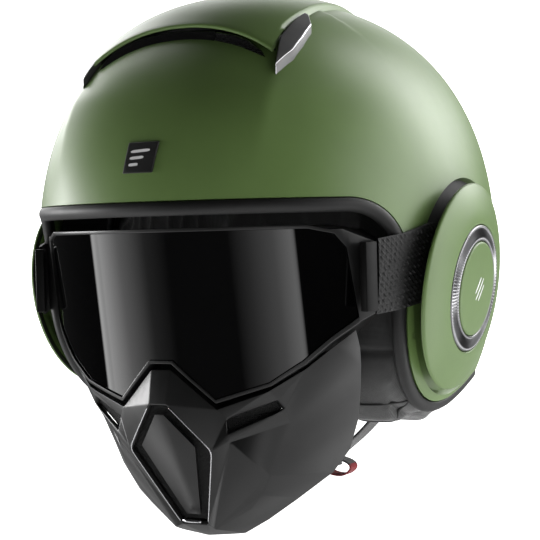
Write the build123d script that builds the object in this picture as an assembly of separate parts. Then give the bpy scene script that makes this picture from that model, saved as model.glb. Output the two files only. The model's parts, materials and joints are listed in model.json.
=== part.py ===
from build123d import *
import math
import os

# Open face helmet with clip-on goggles and a faceted chin mask.
# The parts are drawn upright, in the helmet's wearing attitude: +X is the wearer's left,
# -Y is the front and +Z is up, with the brow edge level. At the end the whole helmet is
# tipped back until it rests on the chin of the mask and on the nape rim.

# ---- Driving dimensions, mm ----------------------------------------------------------

# Outer form: a superellipsoid
HALF_WIDTH = 125.0
HALF_LENGTH = 157.5
HEIGHT_ABOVE = 150.2
DEPTH_BELOW = 142.0
WAIST_Z = 9.0
PLAN_EXPONENT = 2.12
UPPER_EXPONENT = 2.31
LOWER_EXPONENT = 2.2
FORM_BOTTOM_Z = -112.0
DEEPEST_SHARE = 0.98

# Skins, as offsets from the outer form
SHELL_THICKNESS = 4.0
LINER_OUTSIDE = -4.4
LINER_INSIDE = -34.0
COMFORT_OUTSIDE = -34.4
COMFORT_INSIDE = -44.0
BEADING_THICKNESS = 5.5
PAD_OUTSIDE = -6.5

# Side view of the shell's edge
BROW_Z = 41.5
CHEEK_Y = -69.0
BASE_FRONT_Z = -73.0
BASE_REAR_Z = -79.0
ARCH_FRONT_Y = 3.0
ARCH_TOP_FRONT_Y = 42.0
ARCH_TOP_REAR_Y = 72.0
ARCH_TOP_Z = -61.0
ARCH_REAR_Y = 112.0
ARCH_RADIUS = 50.0
BROW_CORNER_RADIUS = 35.0
CHEEK_CORNER_RADIUS = 60.0
BEADING_WIDTH = 7.7
BEADING_SPLIT_Z = -58.0

# Side covers and dials, turned about an axis that leans 8 degrees down
DISC_X = 131.0
DISC_Y = -16.1
DISC_Z = -9.65
DISC_LEAN = 8.0
COVER_RADIUS = 57.5
COVER_DROP = 6.6
COVER_SKIN = 2.5
DIAL_HOLE_RADIUS = 35.6
RING_RADIUS = 35.2
CAP_RADIUS = 26.2
CAP_RISE = 1.7
CAP_CROWN = 1.3
DIAL_DEPTH = 3.2
FLOOR_TOP = -3.6
FLOOR_BOTTOM = -5.6
SPINDLE_RADIUS = 6.0
RUNNING_CLEARANCE = 0.05
POCKET_RADIUS = 60.0
POCKET_Y = -2.0
POCKET_Z = -9.0
POCKET_DEPTH = 2.0

# Crown vent
SCOOP_FORWARD = 6.0
SCOOP_UP = 3.0
SCOOP_SKIN = 1.8
SCOOP_HALF_WIDTH = 55.0
SCOOP_LIP_Y = -106.0
SCOOP_REAR_Y = 40.0
SCOOP_HOLLOW_Y = -92.0
VENT_ARC_RADIUS = 152.4
VENT_ARC_Z = -18.4
VENT_ARC_DEPTH = 4.4
TROUGH_DEPTH = 2.4
SHUTTER_LEFT_DEG = -14.8
SHUTTER_RIGHT_DEG = 8.3
SHUTTER_TRAVEL_DEG = 2.2

# Goggles: a cylindrical lens that leans back towards the chin
LENS_RADIUS = 115.5
LENS_LEAN = 9.6
LENS_AXIS_Y = -24.7
LENS_THICKNESS = 2.2
FRAME_FRONT_RADIUS = 116.5
FRAME_REAR_RADIUS = 96.0
FOAM_REAR_RADIUS = 84.0
FRAME_REAR_Y = -77.0
FOAM_REAR_Y = -71.0
LENS_RIM = 2.0
PEG_X = 65.0
PEG_Y = -105.5
PEG_SIZE = 4.4
PEG_FOOT_Z = -58.0
PEG_TOP_Z = -44.0
PEG_CLEARANCE = 0.3
STRAP_INSIDE = 0.6
STRAP_OUTSIDE = 2.6
STRAP_FRONT_Y = -90.5
STRAP_REAR_Y = -30.0

# Mask skin: facets scaled towards one point inside
MASK_HEART = (0.0, -68.0, -84.0)
MASK_SCALE = 0.955
PANEL_SCALE_FRONT = 0.985
PANEL_SCALE_REAR = 0.945
FILTER_SCALE_FRONT = 0.935
FILTER_SCALE_REAR = 0.905
SLOT_MESH_DEPTH = 0.02

# Chin strap and ratchet buckle, drawn in the front view (x, z)
WEB_WIDTH = 20.0
WEB_THICKNESS = 1.8
WEB_Y = -6.0
WEB_BEND = 6.0
WEB_SLOT = 8.0
RIVET_X = 112.4
RIVET_Z = -22.0
RIVET_RADIUS = 3.0
RIVET_HEAD_RADIUS = 5.0
PIN_X = 12.0
PIN_Z = -107.5
PIN_RADIUS = 1.5
BUCKLE_WALL = 1.5
BUCKLE_GAP = 0.4
TONGUE_TOP_Z = -109.4
TOOTH_PITCH = 3.0

# Points that the helmet rests on, side view (y, z)
CHIN_REST = (-88.0, -141.2)
NAPE_REST = (124.0, -85.4)

BIG = 400.0
HAIR = 0.1
SECTION_POINTS = 24
SECTION_DEGREES = (0, 15, 30, 45, 60, 72, 80, 86)


# ---- Helpers --------------------------------------------------------------------------

def power(value, exponent):
    return math.copysign(abs(value) ** exponent, value)


def form_section(rho, offset, z):
    """One horizontal section of the outer form, as a face."""
    points = []
    for i in range(SECTION_POINTS):
        angle = 2 * math.pi * i / SECTION_POINTS
        x = rho * (HALF_WIDTH + offset) * power(math.cos(angle), 2 / PLAN_EXPONENT)
        y = rho * (HALF_LENGTH + offset) * power(math.sin(angle), 2 / PLAN_EXPONENT)
        points.append((x, y, z))
    return Face(Wire([Edge.make_spline([Vector(*p) for p in points], periodic=True)]))


FORMS = {}


def form(offset):
    """The outer form, grown or shrunk by an offset, down to FORM_BOTTOM_Z."""
    if offset not in FORMS:
        below = DEPTH_BELOW + offset
        above = HEIGHT_ABOVE + offset
        fall = min(DEEPEST_SHARE, (WAIST_Z - FORM_BOTTOM_Z) / below) ** LOWER_EXPONENT
        lowest = math.degrees(math.asin(math.sqrt(fall)))
        sections = []
        for share in (1.0, 0.75, 0.5, 0.25):
            angle = math.radians(lowest * share)
            rho = math.cos(angle) ** (2 / LOWER_EXPONENT)
            z = WAIST_Z - below * math.sin(angle) ** (2 / LOWER_EXPONENT)
            sections.append(form_section(rho, offset, z))
        for degrees in SECTION_DEGREES:
            angle = math.radians(degrees)
            rho = math.cos(angle) ** (2 / UPPER_EXPONENT)
            z = WAIST_Z + above * math.sin(angle) ** (2 / UPPER_EXPONENT)
            sections.append(form_section(rho, offset, z))
        FORMS[offset] = loft(sections)
    return FORMS[offset]


def skin(outside, inside):
    """The space between two offsets of the outer form."""
    return form(outside) - form(inside)


def prism_yz(points, radii=None):
    """A side view outline (y, z), rounded at the given corners, right through the helmet."""
    outline = Polygon(*points, align=None)
    for (y, z), radius in (radii or {}).items():
        corner = outline.vertices().sort_by_distance((y, z, 0))[0]
        outline = fillet(corner, radius)
    return extrude(Plane.YZ * outline, BIG / 2, both=True)


def prism_xz(points):
    """A front view outline (x, z), from front to rear."""
    return extrude(Plane.XZ * Polygon(*points, align=None), BIG / 2, both=True)


def prism_xy(points):
    """A plan outline (x, y), from bottom to top."""
    return extrude(Polygon(*points, align=None), BIG / 2, both=True)


def block(low, high):
    """A box between two corners."""
    size = [b - a for a, b in zip(low, high)]
    centre = [(a + b) / 2 for a, b in zip(low, high)]
    return Pos(*centre) * Box(*size)


def both_sides(solid):
    """A left part and its mirrored right part."""
    return solid, mirror(solid, about=Plane.YZ)


def edge_profile(growth):
    """Side view of what the shell covers, grown past its edge."""
    brow = BROW_Z - growth
    cheek = CHEEK_Y - growth
    base = BASE_FRONT_Z - growth
    points = [
        (-BIG / 2, brow),
        (cheek, brow),
        (cheek, base),
        (ARCH_FRONT_Y, base),
        (ARCH_TOP_FRONT_Y, ARCH_TOP_Z - growth),
        (ARCH_TOP_REAR_Y, ARCH_TOP_Z - growth),
        (ARCH_REAR_Y, BASE_REAR_Z - growth),
        (BIG / 2, BASE_REAR_Z - growth),
        (BIG / 2, BIG / 2),
        (-BIG / 2, BIG / 2),
    ]
    radii = {
        (cheek, brow): BROW_CORNER_RADIUS - growth,
        (cheek, base): CHEEK_CORNER_RADIUS + growth,
        (ARCH_FRONT_Y, base): ARCH_RADIUS + growth,
        (ARCH_TOP_FRONT_Y, ARCH_TOP_Z - growth): ARCH_RADIUS - growth,
        (ARCH_TOP_REAR_Y, ARCH_TOP_Z - growth): ARCH_RADIUS - growth,
        (ARCH_REAR_Y, BASE_REAR_Z - growth): ARCH_RADIUS + growth,
    }
    return prism_yz(points, radii)


def revolved(points):
    """A solid of revolution about Z from a half section (r, z)."""
    return revolve(Plane.XZ * Polygon(*points, align=None), Axis.Z)


def on_disc_axis(solid):
    """Moves a part drawn about Z onto the left side cover's axis, +Z pointing outwards."""
    return Pos(DISC_X, DISC_Y, DISC_Z) * Rot(0, 90 + DISC_LEAN, 0) * solid


# ---- Shell ----------------------------------------------------------------------------

def pocket():
    """The shallow round pocket under the left side cover."""
    hole = Pos(0, POCKET_Y, POCKET_Z) * Rot(0, 90, 0) * Cylinder(
        POCKET_RADIUS, BIG / 2, align=(Align.CENTER, Align.CENTER, Align.MIN))
    return hole - form(-POCKET_DEPTH)


def outer_shell():
    shell = skin(0, -SHELL_THICKNESS) & edge_profile(0)
    for hole in both_sides(rivet_hole()) + both_sides(air_slot()) + both_sides(pocket()):
        shell -= hole
    return shell - vent_trough()


def rivet_hole():
    """The hole through the left cheek for a chin strap rivet."""
    drill = Cylinder(RIVET_RADIUS + HAIR, 30)
    return Pos(RIVET_X, WEB_Y, RIVET_Z) * Rot(0, 90, 0) * drill


def air_slot():
    """One of the two slots through the shell behind the vent's mouth."""
    return block((12, -99, 100), (40, -94, 150))


def vent_trough():
    """The shallow cut in the shell's face that makes room for the vent's shutter."""
    return block((-52, -107, 100), (52, -100.5, 150)) - form(-TROUGH_DEPTH)


def beading():
    """The rubber edge, split into a face part and a base part."""
    edge = skin(0, -BEADING_THICKNESS) & (edge_profile(BEADING_WIDTH) - edge_profile(0))
    upper = block((-BIG, -BIG, BEADING_SPLIT_Z), (BIG, BIG, BIG))
    return edge & upper, edge - upper - below_rest_plane()


def below_rest_plane():
    """Everything under the plane that the helmet stands on."""
    slab = Box(BIG, 2 * BIG, BIG, align=(Align.CENTER, Align.CENTER, Align.MAX))
    return Pos(0, *CHIN_REST) * Rot(tip_angle(), 0, 0) * slab


def tip_angle():
    rise = NAPE_REST[1] - CHIN_REST[1]
    run = NAPE_REST[0] - CHIN_REST[0]
    return math.degrees(math.atan2(rise, run))


def badge():
    plate = skin(1.4, HAIR) & prism_xz([(-8.5, 56), (9, 56), (11, 72), (-7, 72)])
    return plate & block((-20, -BIG, 40), (20, -100, 90))


# ---- Crown vent -----------------------------------------------------------------------

def scoop_outline():
    return prism_xy([
        (-SCOOP_HALF_WIDTH, SCOOP_LIP_Y),
        (SCOOP_HALF_WIDTH, SCOOP_LIP_Y),
        (SCOOP_HALF_WIDTH, -60),
        (SCOOP_HALF_WIDTH - 8, SCOOP_REAR_Y),
        (8 - SCOOP_HALF_WIDTH, SCOOP_REAR_Y),
        (-SCOOP_HALF_WIDTH, -60),
    ])


def raised(offset):
    """The outer form moved forwards and up, which makes the scoop's top."""
    return Pos(0, -SCOOP_FORWARD, SCOOP_UP) * form(offset)


def crown_scoop():
    above_waist = block((-BIG, -BIG, 60), (BIG, BIG, BIG))
    hood = (raised(0) & scoop_outline() & above_waist) - form(HAIR)
    mouth = block((-BIG, -BIG, 60), (BIG, SCOOP_HOLLOW_Y, BIG))
    mouth &= raised(-SCOOP_SKIN)
    return hood - mouth


def arc_strip(inner, outer, from_deg, to_deg, front_y, rear_y):
    """A curved strip about the vent's arc axis, seen from the front, in the mouth."""
    steps = 12
    angles = [math.radians(from_deg + (to_deg - from_deg) * i / steps) for i in range(steps + 1)]
    points = [(outer * math.sin(a), VENT_ARC_Z + outer * math.cos(a)) for a in angles]
    points += [(inner * math.sin(a), VENT_ARC_Z + inner * math.cos(a)) for a in reversed(angles)]
    depth = rear_y - front_y
    outline = Plane.XZ.offset(-(front_y + rear_y) / 2) * Polygon(*points, align=None)
    return extrude(outline, depth / 2, both=True)


def vent_fascia():
    """The band that fills the mouth, with curled ends and a window for the shutter."""
    half = [(0, 132.4), (25, 130.3), (46, 124.8), (55, 121.5), (60, 107)]
    outline = half + [(52, 90), (-52, 90)] + [(-x, z) for x, z in reversed(half[1:])]
    band = prism_xz(outline) & block((-BIG, -107.5, 60), (BIG, -101.0, BIG))
    band -= form(HAIR) - vent_trough()
    for solid in both_sides(vent_plate()) + (crown_scoop(),):
        band -= solid
    window = arc_strip(
        VENT_ARC_RADIUS - VENT_ARC_DEPTH - 0.4, VENT_ARC_RADIUS + 5,
        SHUTTER_LEFT_DEG - SHUTTER_TRAVEL_DEG - 0.3, SHUTTER_RIGHT_DEG + 0.2,
        -110.0, -103.6)
    port = arc_strip(
        VENT_ARC_RADIUS - VENT_ARC_DEPTH + 0.4, VENT_ARC_RADIUS + 5, 6.0, 8.0, -105.0, -100.0)
    return band - window - port


def vent_shutter():
    strip = arc_strip(
        VENT_ARC_RADIUS - VENT_ARC_DEPTH, VENT_ARC_RADIUS - 3.1,
        SHUTTER_LEFT_DEG, SHUTTER_RIGHT_DEG, -105.8, -104.0)
    tab = arc_strip(
        VENT_ARC_RADIUS - 4.0, VENT_ARC_RADIUS - 2.9, 6.6, 7.6, -107.0, -105.8)
    return strip + tab


def vent_plate():
    """The metal-look fin beside the left end of the scoop."""
    plan = [(59.5, -111), (63.5, -98), (64, -87), (63, -74), (57.5, -66), (55.2, -66), (55.2, -96), (58, -106)]
    fin = (form(4.5) & prism_xy(plan) & block((0, -BIG, 60), (BIG, 0, BIG))) - form(HAIR)
    return fin


# ---- Side covers and dials ------------------------------------------------------------

def side_cover():
    """A round dished cover: free at the front, closed down to the shell at the rear."""
    top = [(DIAL_HOLE_RADIUS, 0), (47, -2.4), (COVER_RADIUS, -COVER_DROP)]
    inner = [(r, z - COVER_SKIN) for r, z in reversed(top[1:-1])]
    lip = revolved(top + [(COVER_RADIUS, -COVER_DROP - 1.6), (COVER_RADIUS - 2, -COVER_DROP - 2.2)]
                   + inner + [(DIAL_HOLE_RADIUS, FLOOR_BOTTOM)])
    floor = revolved([
        (SPINDLE_RADIUS + RUNNING_CLEARANCE, FLOOR_TOP),
        (DIAL_HOLE_RADIUS + 1, FLOOR_TOP),
        (DIAL_HOLE_RADIUS + 1, FLOOR_BOTTOM),
        (SPINDLE_RADIUS + RUNNING_CLEARANCE, FLOOR_BOTTOM),
    ])
    skirt = revolved([
        (COVER_RADIUS - COVER_SKIN, -COVER_DROP - 1),
        (COVER_RADIUS, -COVER_DROP - 1),
        (COVER_RADIUS, -24),
        (COVER_RADIUS - COVER_SKIN, -24),
    ])
    skirt &= block((-BIG, 22, -BIG), (BIG, BIG, BIG))
    cover = on_disc_axis(lip + floor + skirt)
    return cover - form(-POCKET_DEPTH) - (form(0) - pocket())


def knurled_ring():
    ring = revolved([
        (CAP_RADIUS, -DIAL_DEPTH),
        (RING_RADIUS, -DIAL_DEPTH),
        (RING_RADIUS, 0.2),
        (CAP_RADIUS, CAP_RISE - 0.2),
    ])
    return on_disc_axis(ring)


def centre_cap():
    cap = revolved([
        (0, -6.0),
        (SPINDLE_RADIUS, -6.0),
        (SPINDLE_RADIUS, -DIAL_DEPTH),
        (CAP_RADIUS, -DIAL_DEPTH),
        (CAP_RADIUS, CAP_RISE),
        (CAP_RADIUS * 0.5, CAP_RISE + CAP_CROWN * 0.8),
        (0, CAP_RISE + CAP_CROWN),
    ])
    return on_disc_axis(cap)


# ---- Inside of the helmet -------------------------------------------------------------

def eps_liner():
    profile = prism_yz([
        (-BIG / 2, 44), (-58, 44), (-58, 14), (52, 14), (52, -56), (BIG / 2, -56),
        (BIG / 2, BIG / 2), (-BIG / 2, BIG / 2)])
    return skin(LINER_OUTSIDE, LINER_INSIDE) & profile


def comfort_liner():
    profile = prism_yz([
        (-BIG / 2, 50), (-50, 50), (-50, 20), (60, 20), (60, -40), (BIG / 2, -40),
        (BIG / 2, BIG / 2), (-BIG / 2, BIG / 2)])
    return skin(COMFORT_OUTSIDE, COMFORT_INSIDE) & profile


def cheek_pad():
    side = prism_yz(
        [(-64, 12), (50, 12), (50, -82), (12, -90), (-40, -84), (-64, -52)],
        {(-64, -52): 24, (-64, 12): 12, (50, 12): 10, (50, -82): 14})
    face = extrude(Pos(0, -6) * Ellipse(64, 108), BIG, both=True)
    pad = (form(PAD_OUTSIDE) & side) - face
    pad &= block((40, -BIG, -BIG), (BIG, BIG, BIG))
    return pad - web(LEFT_WEB, WEB_SLOT, WEB_WIDTH + 4) - rivet()


def neck_roll():
    neck = extrude(Ellipse(70, 92), BIG, both=True)
    ring = form(PAD_OUTSIDE) - neck
    profile = prism_yz([(54, -57), (54, -84), (92, -88), (140, -76), (140, -57)])
    return ring & profile


# ---- Goggles --------------------------------------------------------------------------

def lens_cylinder(radius):
    rod = Cylinder(radius, BIG)
    return Pos(0, LENS_AXIS_Y, 0) * Rot(LENS_LEAN, 0, 0) * rod


def lens_points(grow):
    """Front view outline of the lens, grown outwards, right half from top to nose."""
    half = [
        (0, 25.4 + grow),
        (78, 25.4 + grow),
        (88 + grow * 0.7, 22.5 + grow * 0.7),
        (92 + grow, 15),
        (94 + grow, -21),
        (92 + grow, -23.0 - grow * 0.7),
        (83 + grow * 0.5, -31.0 - grow * 0.9),
        (71 + grow * 0.4, -42.6 - grow),
        (55.4 + grow * 0.3, -53.4 - grow),
        (28.5, -61.8 - grow * 1.1),
        (7 - grow * 0.4, -41.2 - grow),
        (0, -41.2 - grow),
    ]
    return half + [(-x, z) for x, z in reversed(half[1:-1])]


def goggle_frame():
    body = lens_cylinder(FRAME_FRONT_RADIUS) - lens_cylinder(FRAME_REAR_RADIUS)
    body &= block((-BIG, -BIG, -BIG), (BIG, FRAME_REAR_Y, BIG))
    wings = prism_xz([
        (-103.5, 17), (-91, 25), (91, 25), (103.5, 17), (103.5, -17), (94, -24), (80, -24),
        (-80, -24), (-94, -24), (-103.5, -17)])
    body &= prism_xz(lens_points(LENS_RIM)) + wings
    seat = lens_cylinder(FRAME_FRONT_RADIUS + 2) - lens_cylinder(LENS_RADIUS - LENS_THICKNESS - 0.1)
    body -= seat & prism_xz(lens_points(0.1))
    for socket in both_sides(mask_peg(PEG_CLEARANCE)):
        body -= socket
    return body - prism_xz(lens_points(-5))


def goggle_lens():
    lens = lens_cylinder(LENS_RADIUS) - lens_cylinder(LENS_RADIUS - LENS_THICKNESS)
    lens &= block((-BIG, -BIG, -BIG), (BIG, -60, BIG))
    return lens & prism_xz(lens_points(0))


def goggle_foam():
    """The face foam behind the frame."""
    foam = lens_cylinder(LENS_RADIUS - 2) - lens_cylinder(FOAM_REAR_RADIUS)
    foam &= block((-BIG, -BIG, -BIG), (BIG, FOAM_REAR_Y, BIG))
    in_front = lens_cylinder(BIG / 2) - lens_cylinder(FRAME_REAR_RADIUS)
    foam -= in_front & block((-BIG, -BIG, -BIG), (BIG, FRAME_REAR_Y, BIG))
    return (foam & prism_xz(lens_points(0))) - prism_xz(lens_points(-10))


def outrigger():
    """The block that carries the strap beside the lens, without the frame behind it."""
    bar = Pos(102.4, -95.5, 0) * Rot(0, 0, -25) * Box(5.0, 8.0, 36.0)
    return bar - lens_cylinder(FRAME_FRONT_RADIUS)


def goggle_strap():
    band = skin(STRAP_OUTSIDE, STRAP_INSIDE) & prism_yz([
        (STRAP_FRONT_Y, 19.5), (-74, 22), (-53, 27), (STRAP_REAR_Y, 28),
        (STRAP_REAR_Y, -14), (-60, -15), (-77, -18), (STRAP_FRONT_Y, -19.5)])
    return band & block((0, -BIG, -BIG), (BIG, 0, BIG))


def strap_anchor():
    """The bar under the side cover that the goggle strap hooks on."""
    bar = skin(1.8, HAIR - POCKET_DEPTH) & prism_yz([
        (STRAP_REAR_Y + 0.4, 26), (STRAP_REAR_Y + 6, 26), (STRAP_REAR_Y + 6, -14), (STRAP_REAR_Y + 0.4, -14)])
    return bar & block((0, -BIG, -BIG), (BIG, 0, BIG))


# ---- Mask -----------------------------------------------------------------------------

# Corners of the faceted skin, left half; a name starting with C lies in the middle.
MASK_POINTS = {
    "nose_top": (6, -135, -46),
    "top_valley": (28.5, -127.5, -67),
    "top_cheek": (55, -119.5, -57.8),
    "top_side": (71, -108, -47),
    "top_temple": (83, -99, -36),
    "top_rear": (92, -89.5, -27.5),
    "rear_a": (91.4, -83, -38),
    "rear_b": (89.7, -78.6, -48),
    "rear_c": (86.5, -73, -61),
    "rear_d": (83, -68, -76),
    "rear_e": (76, -65, -94),
    "rear_f": (67, -69, -107),
    "rear_g": (51, -78, -120),
    "rear_h": (34, -81, -132),
    "chin_corner": (20.6, -84.4, -140),
    "C_chin": (0, -88, -142),
    "nose_bottom": (5.2, -140, -64),
    "window_corner": (25, -128, -89),
    "window_foot": (8, -103.7, -133),
    "slot_inner_top": (32.5, -124.5, -72.5),
    "slot_inner_low": (33.6, -126, -80),
    "slot_outer_top": (57, -112.5, -63),
    "slot_outer_low": (59, -109, -68),
    "pod_top": (34.5, -125, -84),
    "pod_foot": (12, -104, -135),
    "ridge_a": (58, -102, -76),
    "ridge_b": (51, -101, -91),
    "ridge_c": (44.5, -100, -105),
    "ridge_d": (38, -98, -116),
    "ridge_e": (31, -97, -124),
}

MASK_FACETS = [
    ("nose_top", "top_valley", "nose_bottom"),
    ("nose_bottom", "top_valley", "window_corner"),
    ("top_valley", "slot_inner_top", "window_corner"),
    ("top_valley", "top_cheek", "slot_inner_top"),
    ("top_cheek", "slot_outer_top", "slot_inner_top"),
    ("slot_inner_top", "slot_inner_low", "window_corner"),
    ("window_corner", "slot_inner_low", "pod_top"),
    ("window_corner", "pod_top", "window_foot"),
    ("pod_top", "pod_foot", "window_foot"),
    ("slot_inner_low", "slot_outer_low", "pod_top"),
    ("pod_top", "slot_outer_low", "ridge_a"),
    ("pod_top", "ridge_a", "ridge_b"),
    ("pod_top", "ridge_b", "ridge_c"),
    ("pod_top", "ridge_c", "pod_foot"),
    ("ridge_c", "ridge_d", "pod_foot"),
    ("ridge_d", "ridge_e", "pod_foot"),
    ("top_cheek", "top_side", "slot_outer_top"),
    ("slot_outer_top", "top_side", "slot_outer_low"),
    ("slot_outer_low", "top_side", "ridge_a"),
    ("top_side", "top_temple", "ridge_a"),
    ("top_temple", "top_rear", "rear_a"),
    ("top_temple", "rear_a", "rear_b"),
    ("top_temple", "rear_b", "ridge_a"),
    ("ridge_a", "rear_b", "rear_c"),
    ("ridge_a", "rear_c", "ridge_b"),
    ("ridge_b", "rear_c", "rear_d"),
    ("ridge_b", "rear_d", "ridge_c"),
    ("ridge_c", "rear_d", "rear_e"),
    ("ridge_c", "rear_e", "rear_f"),
    ("ridge_c", "rear_f", "ridge_d"),
    ("ridge_d", "rear_f", "rear_g"),
    ("ridge_d", "rear_g", "ridge_e"),
    ("ridge_e", "rear_g", "rear_h"),
    ("pod_foot", "ridge_e", "rear_h"),
    ("pod_foot", "rear_h", "chin_corner"),
    ("window_foot", "pod_foot", "chin_corner"),
    ("window_foot", "chin_corner", "C_chin"),
]

# Facets that cross the middle; a minus sign marks a mirrored corner.
MASK_MIDDLE = [
    ("nose_top", "nose_bottom", "-nose_bottom"),
    ("nose_top", "-nose_bottom", "-nose_top"),
    ("window_foot", "C_chin", "-window_foot"),
]

PANEL_POINTS = {
    "panel_top": (2.6, -139.5, -69),
    "panel_corner": (16.6, -131, -87),
    "panel_foot": (4.3, -105.5, -128),
}


def towards_heart(point, scale):
    return tuple(h + (p - h) * scale for p, h in zip(point, MASK_HEART))


def corner(name, points):
    if name.startswith("-"):
        x, y, z = points[name[1:]]
        return (-x, y, z)
    return points[name]


def mirrored_name(name):
    if name.startswith("C_"):
        return name
    return name[1:] if name.startswith("-") else "-" + name


def faceted_skin(facets, points, outer_scale, inner_scale):
    """A closed solid between the facets scaled to two sizes about the mask's heart."""
    faces = []
    edges = {}
    for names in facets:
        for scale in (outer_scale, inner_scale):
            loop = [towards_heart(corner(n, points), scale) for n in names]
            faces.append(Face(Wire.make_polygon([Vector(*p) for p in loop])))
        for a, b in zip(names, names[1:] + names[:1]):
            key = tuple(sorted((a, b)))
            edges[key] = edges.get(key, 0) + 1
    for (a, b), uses in edges.items():
        if uses == 1:
            pa = corner(a, points)
            pb = corner(b, points)
            loop = [
                towards_heart(pa, outer_scale),
                towards_heart(pb, outer_scale),
                towards_heart(pb, inner_scale),
                towards_heart(pa, inner_scale),
            ]
            faces.append(Face(Wire.make_polygon([Vector(*p) for p in loop])))
    return Solid(Shell(faces))


def all_mask_facets():
    mirrored = [tuple(mirrored_name(n) for n in reversed(f)) for f in MASK_FACETS]
    return MASK_FACETS + mirrored + MASK_MIDDLE


def mask_shell():
    return faceted_skin(all_mask_facets(), MASK_POINTS, 1.0, MASK_SCALE) - below_rest_plane()


def mask_front_panel():
    facets = [
        ("panel_top", "panel_corner", "panel_foot"),
        ("panel_top", "panel_foot", "-panel_foot"),
        ("panel_top", "-panel_foot", "-panel_top"),
        ("-panel_top", "-panel_foot", "-panel_corner"),
    ]
    return faceted_skin(facets, PANEL_POINTS, PANEL_SCALE_FRONT, PANEL_SCALE_REAR)


def mask_filter():
    """The filter tray behind the window, which carries the front panel."""
    names = ("nose_bottom", "window_corner", "window_foot")
    points = {n: MASK_POINTS[n] for n in names}
    facets = [
        ("nose_bottom", "window_corner", "window_foot"),
        ("nose_bottom", "window_foot", "-window_foot"),
        ("nose_bottom", "-window_foot", "-nose_bottom"),
        ("-nose_bottom", "-window_foot", "-window_corner"),
    ]
    return faceted_skin(facets, points, FILTER_SCALE_FRONT, FILTER_SCALE_REAR) - mask_front_panel()


def mask_slot_mesh():
    names = ("slot_inner_top", "slot_inner_low", "slot_outer_top", "slot_outer_low")
    points = {n: MASK_POINTS[n] for n in names}
    facets = [
        ("slot_inner_top", "slot_inner_low", "slot_outer_low"),
        ("slot_inner_top", "slot_outer_low", "slot_outer_top"),
    ]
    return faceted_skin(facets, points, MASK_SCALE, MASK_SCALE - SLOT_MESH_DEPTH)


def mask_peg(clearance=0.0):
    """The upright peg inside the mask that plugs into the lower rim of the goggle frame."""
    low = (PEG_X - PEG_SIZE / 2 - clearance, PEG_Y - PEG_SIZE / 2 - clearance, PEG_FOOT_Z)
    high = (PEG_X + PEG_SIZE / 2 + clearance, PEG_Y + PEG_SIZE / 2 + clearance, PEG_TOP_Z + clearance)
    return block(low, high)


# ---- Chin strap -----------------------------------------------------------------------

LEFT_WEB = [(114.5, -14), (113.5, -32), (77, -72), (59, -92), (43, -105), (34, -111.4)]
RIGHT_WEB = LEFT_WEB[:4] + [(40, -106), (20, -110.4)]


def web(points, thickness, width):
    """Flat webbing along a front view path."""
    line = FilletPolyline(*points, radius=WEB_BEND)
    ribbon = Plane.XZ.offset(-WEB_Y) * trace(line, thickness)
    return extrude(ribbon, width / 2, both=True)


def rivet():
    """The rivet that holds one end of the chin strap to the shell."""
    upright = (Align.CENTER, Align.CENTER, Align.MIN)
    shank = Cylinder(RIVET_RADIUS, 10.4, align=upright)
    head = Pos(0, 0, 9.4) * Cylinder(RIVET_HEAD_RADIUS, 1.0, align=upright)
    washer = Pos(0, 0, 2) * Cylinder(RIVET_HEAD_RADIUS, 1.0, align=upright)
    return Pos(RIVET_X, WEB_Y, RIVET_Z) * Rot(0, 90, 0) * (shank + head + washer)


def web_span(low_x, low_z, high_x, high_z, grow=0.0):
    """A block across the webbing's width, drawn in the front view."""
    half = WEB_WIDTH / 2 + grow
    return block((low_x, WEB_Y - half, low_z), (high_x, WEB_Y + half, high_z))


def pin_rod(radius, half_length):
    return Pos(PIN_X, WEB_Y, PIN_Z) * Rot(90, 0, 0) * Cylinder(radius, 2 * half_length)


def buckle_body():
    outer = WEB_WIDTH / 2 + BUCKLE_WALL
    channel = web_span(2, -114, 38, -105.2, BUCKLE_WALL) - web_span(0, -112.6, 40, -100)
    bridge = web_span(36.6, -112.6, 38, -108.6)
    return channel + bridge - pin_rod(PIN_RADIUS, outer + 1) - web(LEFT_WEB, WEB_THICKNESS, WEB_WIDTH)


def buckle_lever():
    plate = web_span(PIN_X + 1, -104.8, 36, -103.2, BUCKLE_WALL)
    cheeks = web_span(PIN_X - 2.8, PIN_Z - 2.8, PIN_X + 8, -104.8, -BUCKLE_GAP)
    cheeks -= web_span(0, -120, 60, -104.8, -BUCKLE_GAP - 2)
    pawl = web_span(22, TONGUE_TOP_Z + BUCKLE_GAP, 24, -104.8, -5)
    ear = block((28, WEB_Y - 23, -104.8), (36, WEB_Y - 8, -103.2))
    return plate + cheeks + pawl + ear - pin_rod(PIN_RADIUS + RUNNING_CLEARANCE, 20)


def pull_tab():
    """A folded ribbon loop sewn to the lever's ear."""
    loop = Spline((37, -103.4), (48, -105), (57.5, -107.5), (59, -111.5), (53, -115.6), (43, -114), (37, -106.6))
    ribbon = Plane.XZ.offset(-WEB_Y + 17.5) * trace(loop, 1.2)
    return extrude(ribbon, 5, both=True) - buckle_lever()


def ratchet_tongue():
    bar = web_span(-18, -111.8, 26, TONGUE_TOP_Z - 0.8, -3)
    teeth = [web_span(x, TONGUE_TOP_Z - 0.8, x + 1.4, TONGUE_TOP_Z, -4)
             for x in (2 + TOOTH_PITCH * i for i in range(8))]
    return bar + teeth


PARTS = {}


def add_pair(name, solid):
    left, right = both_sides(solid)
    PARTS[name + "_left"] = left
    PARTS[name + "_right"] = right


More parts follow.
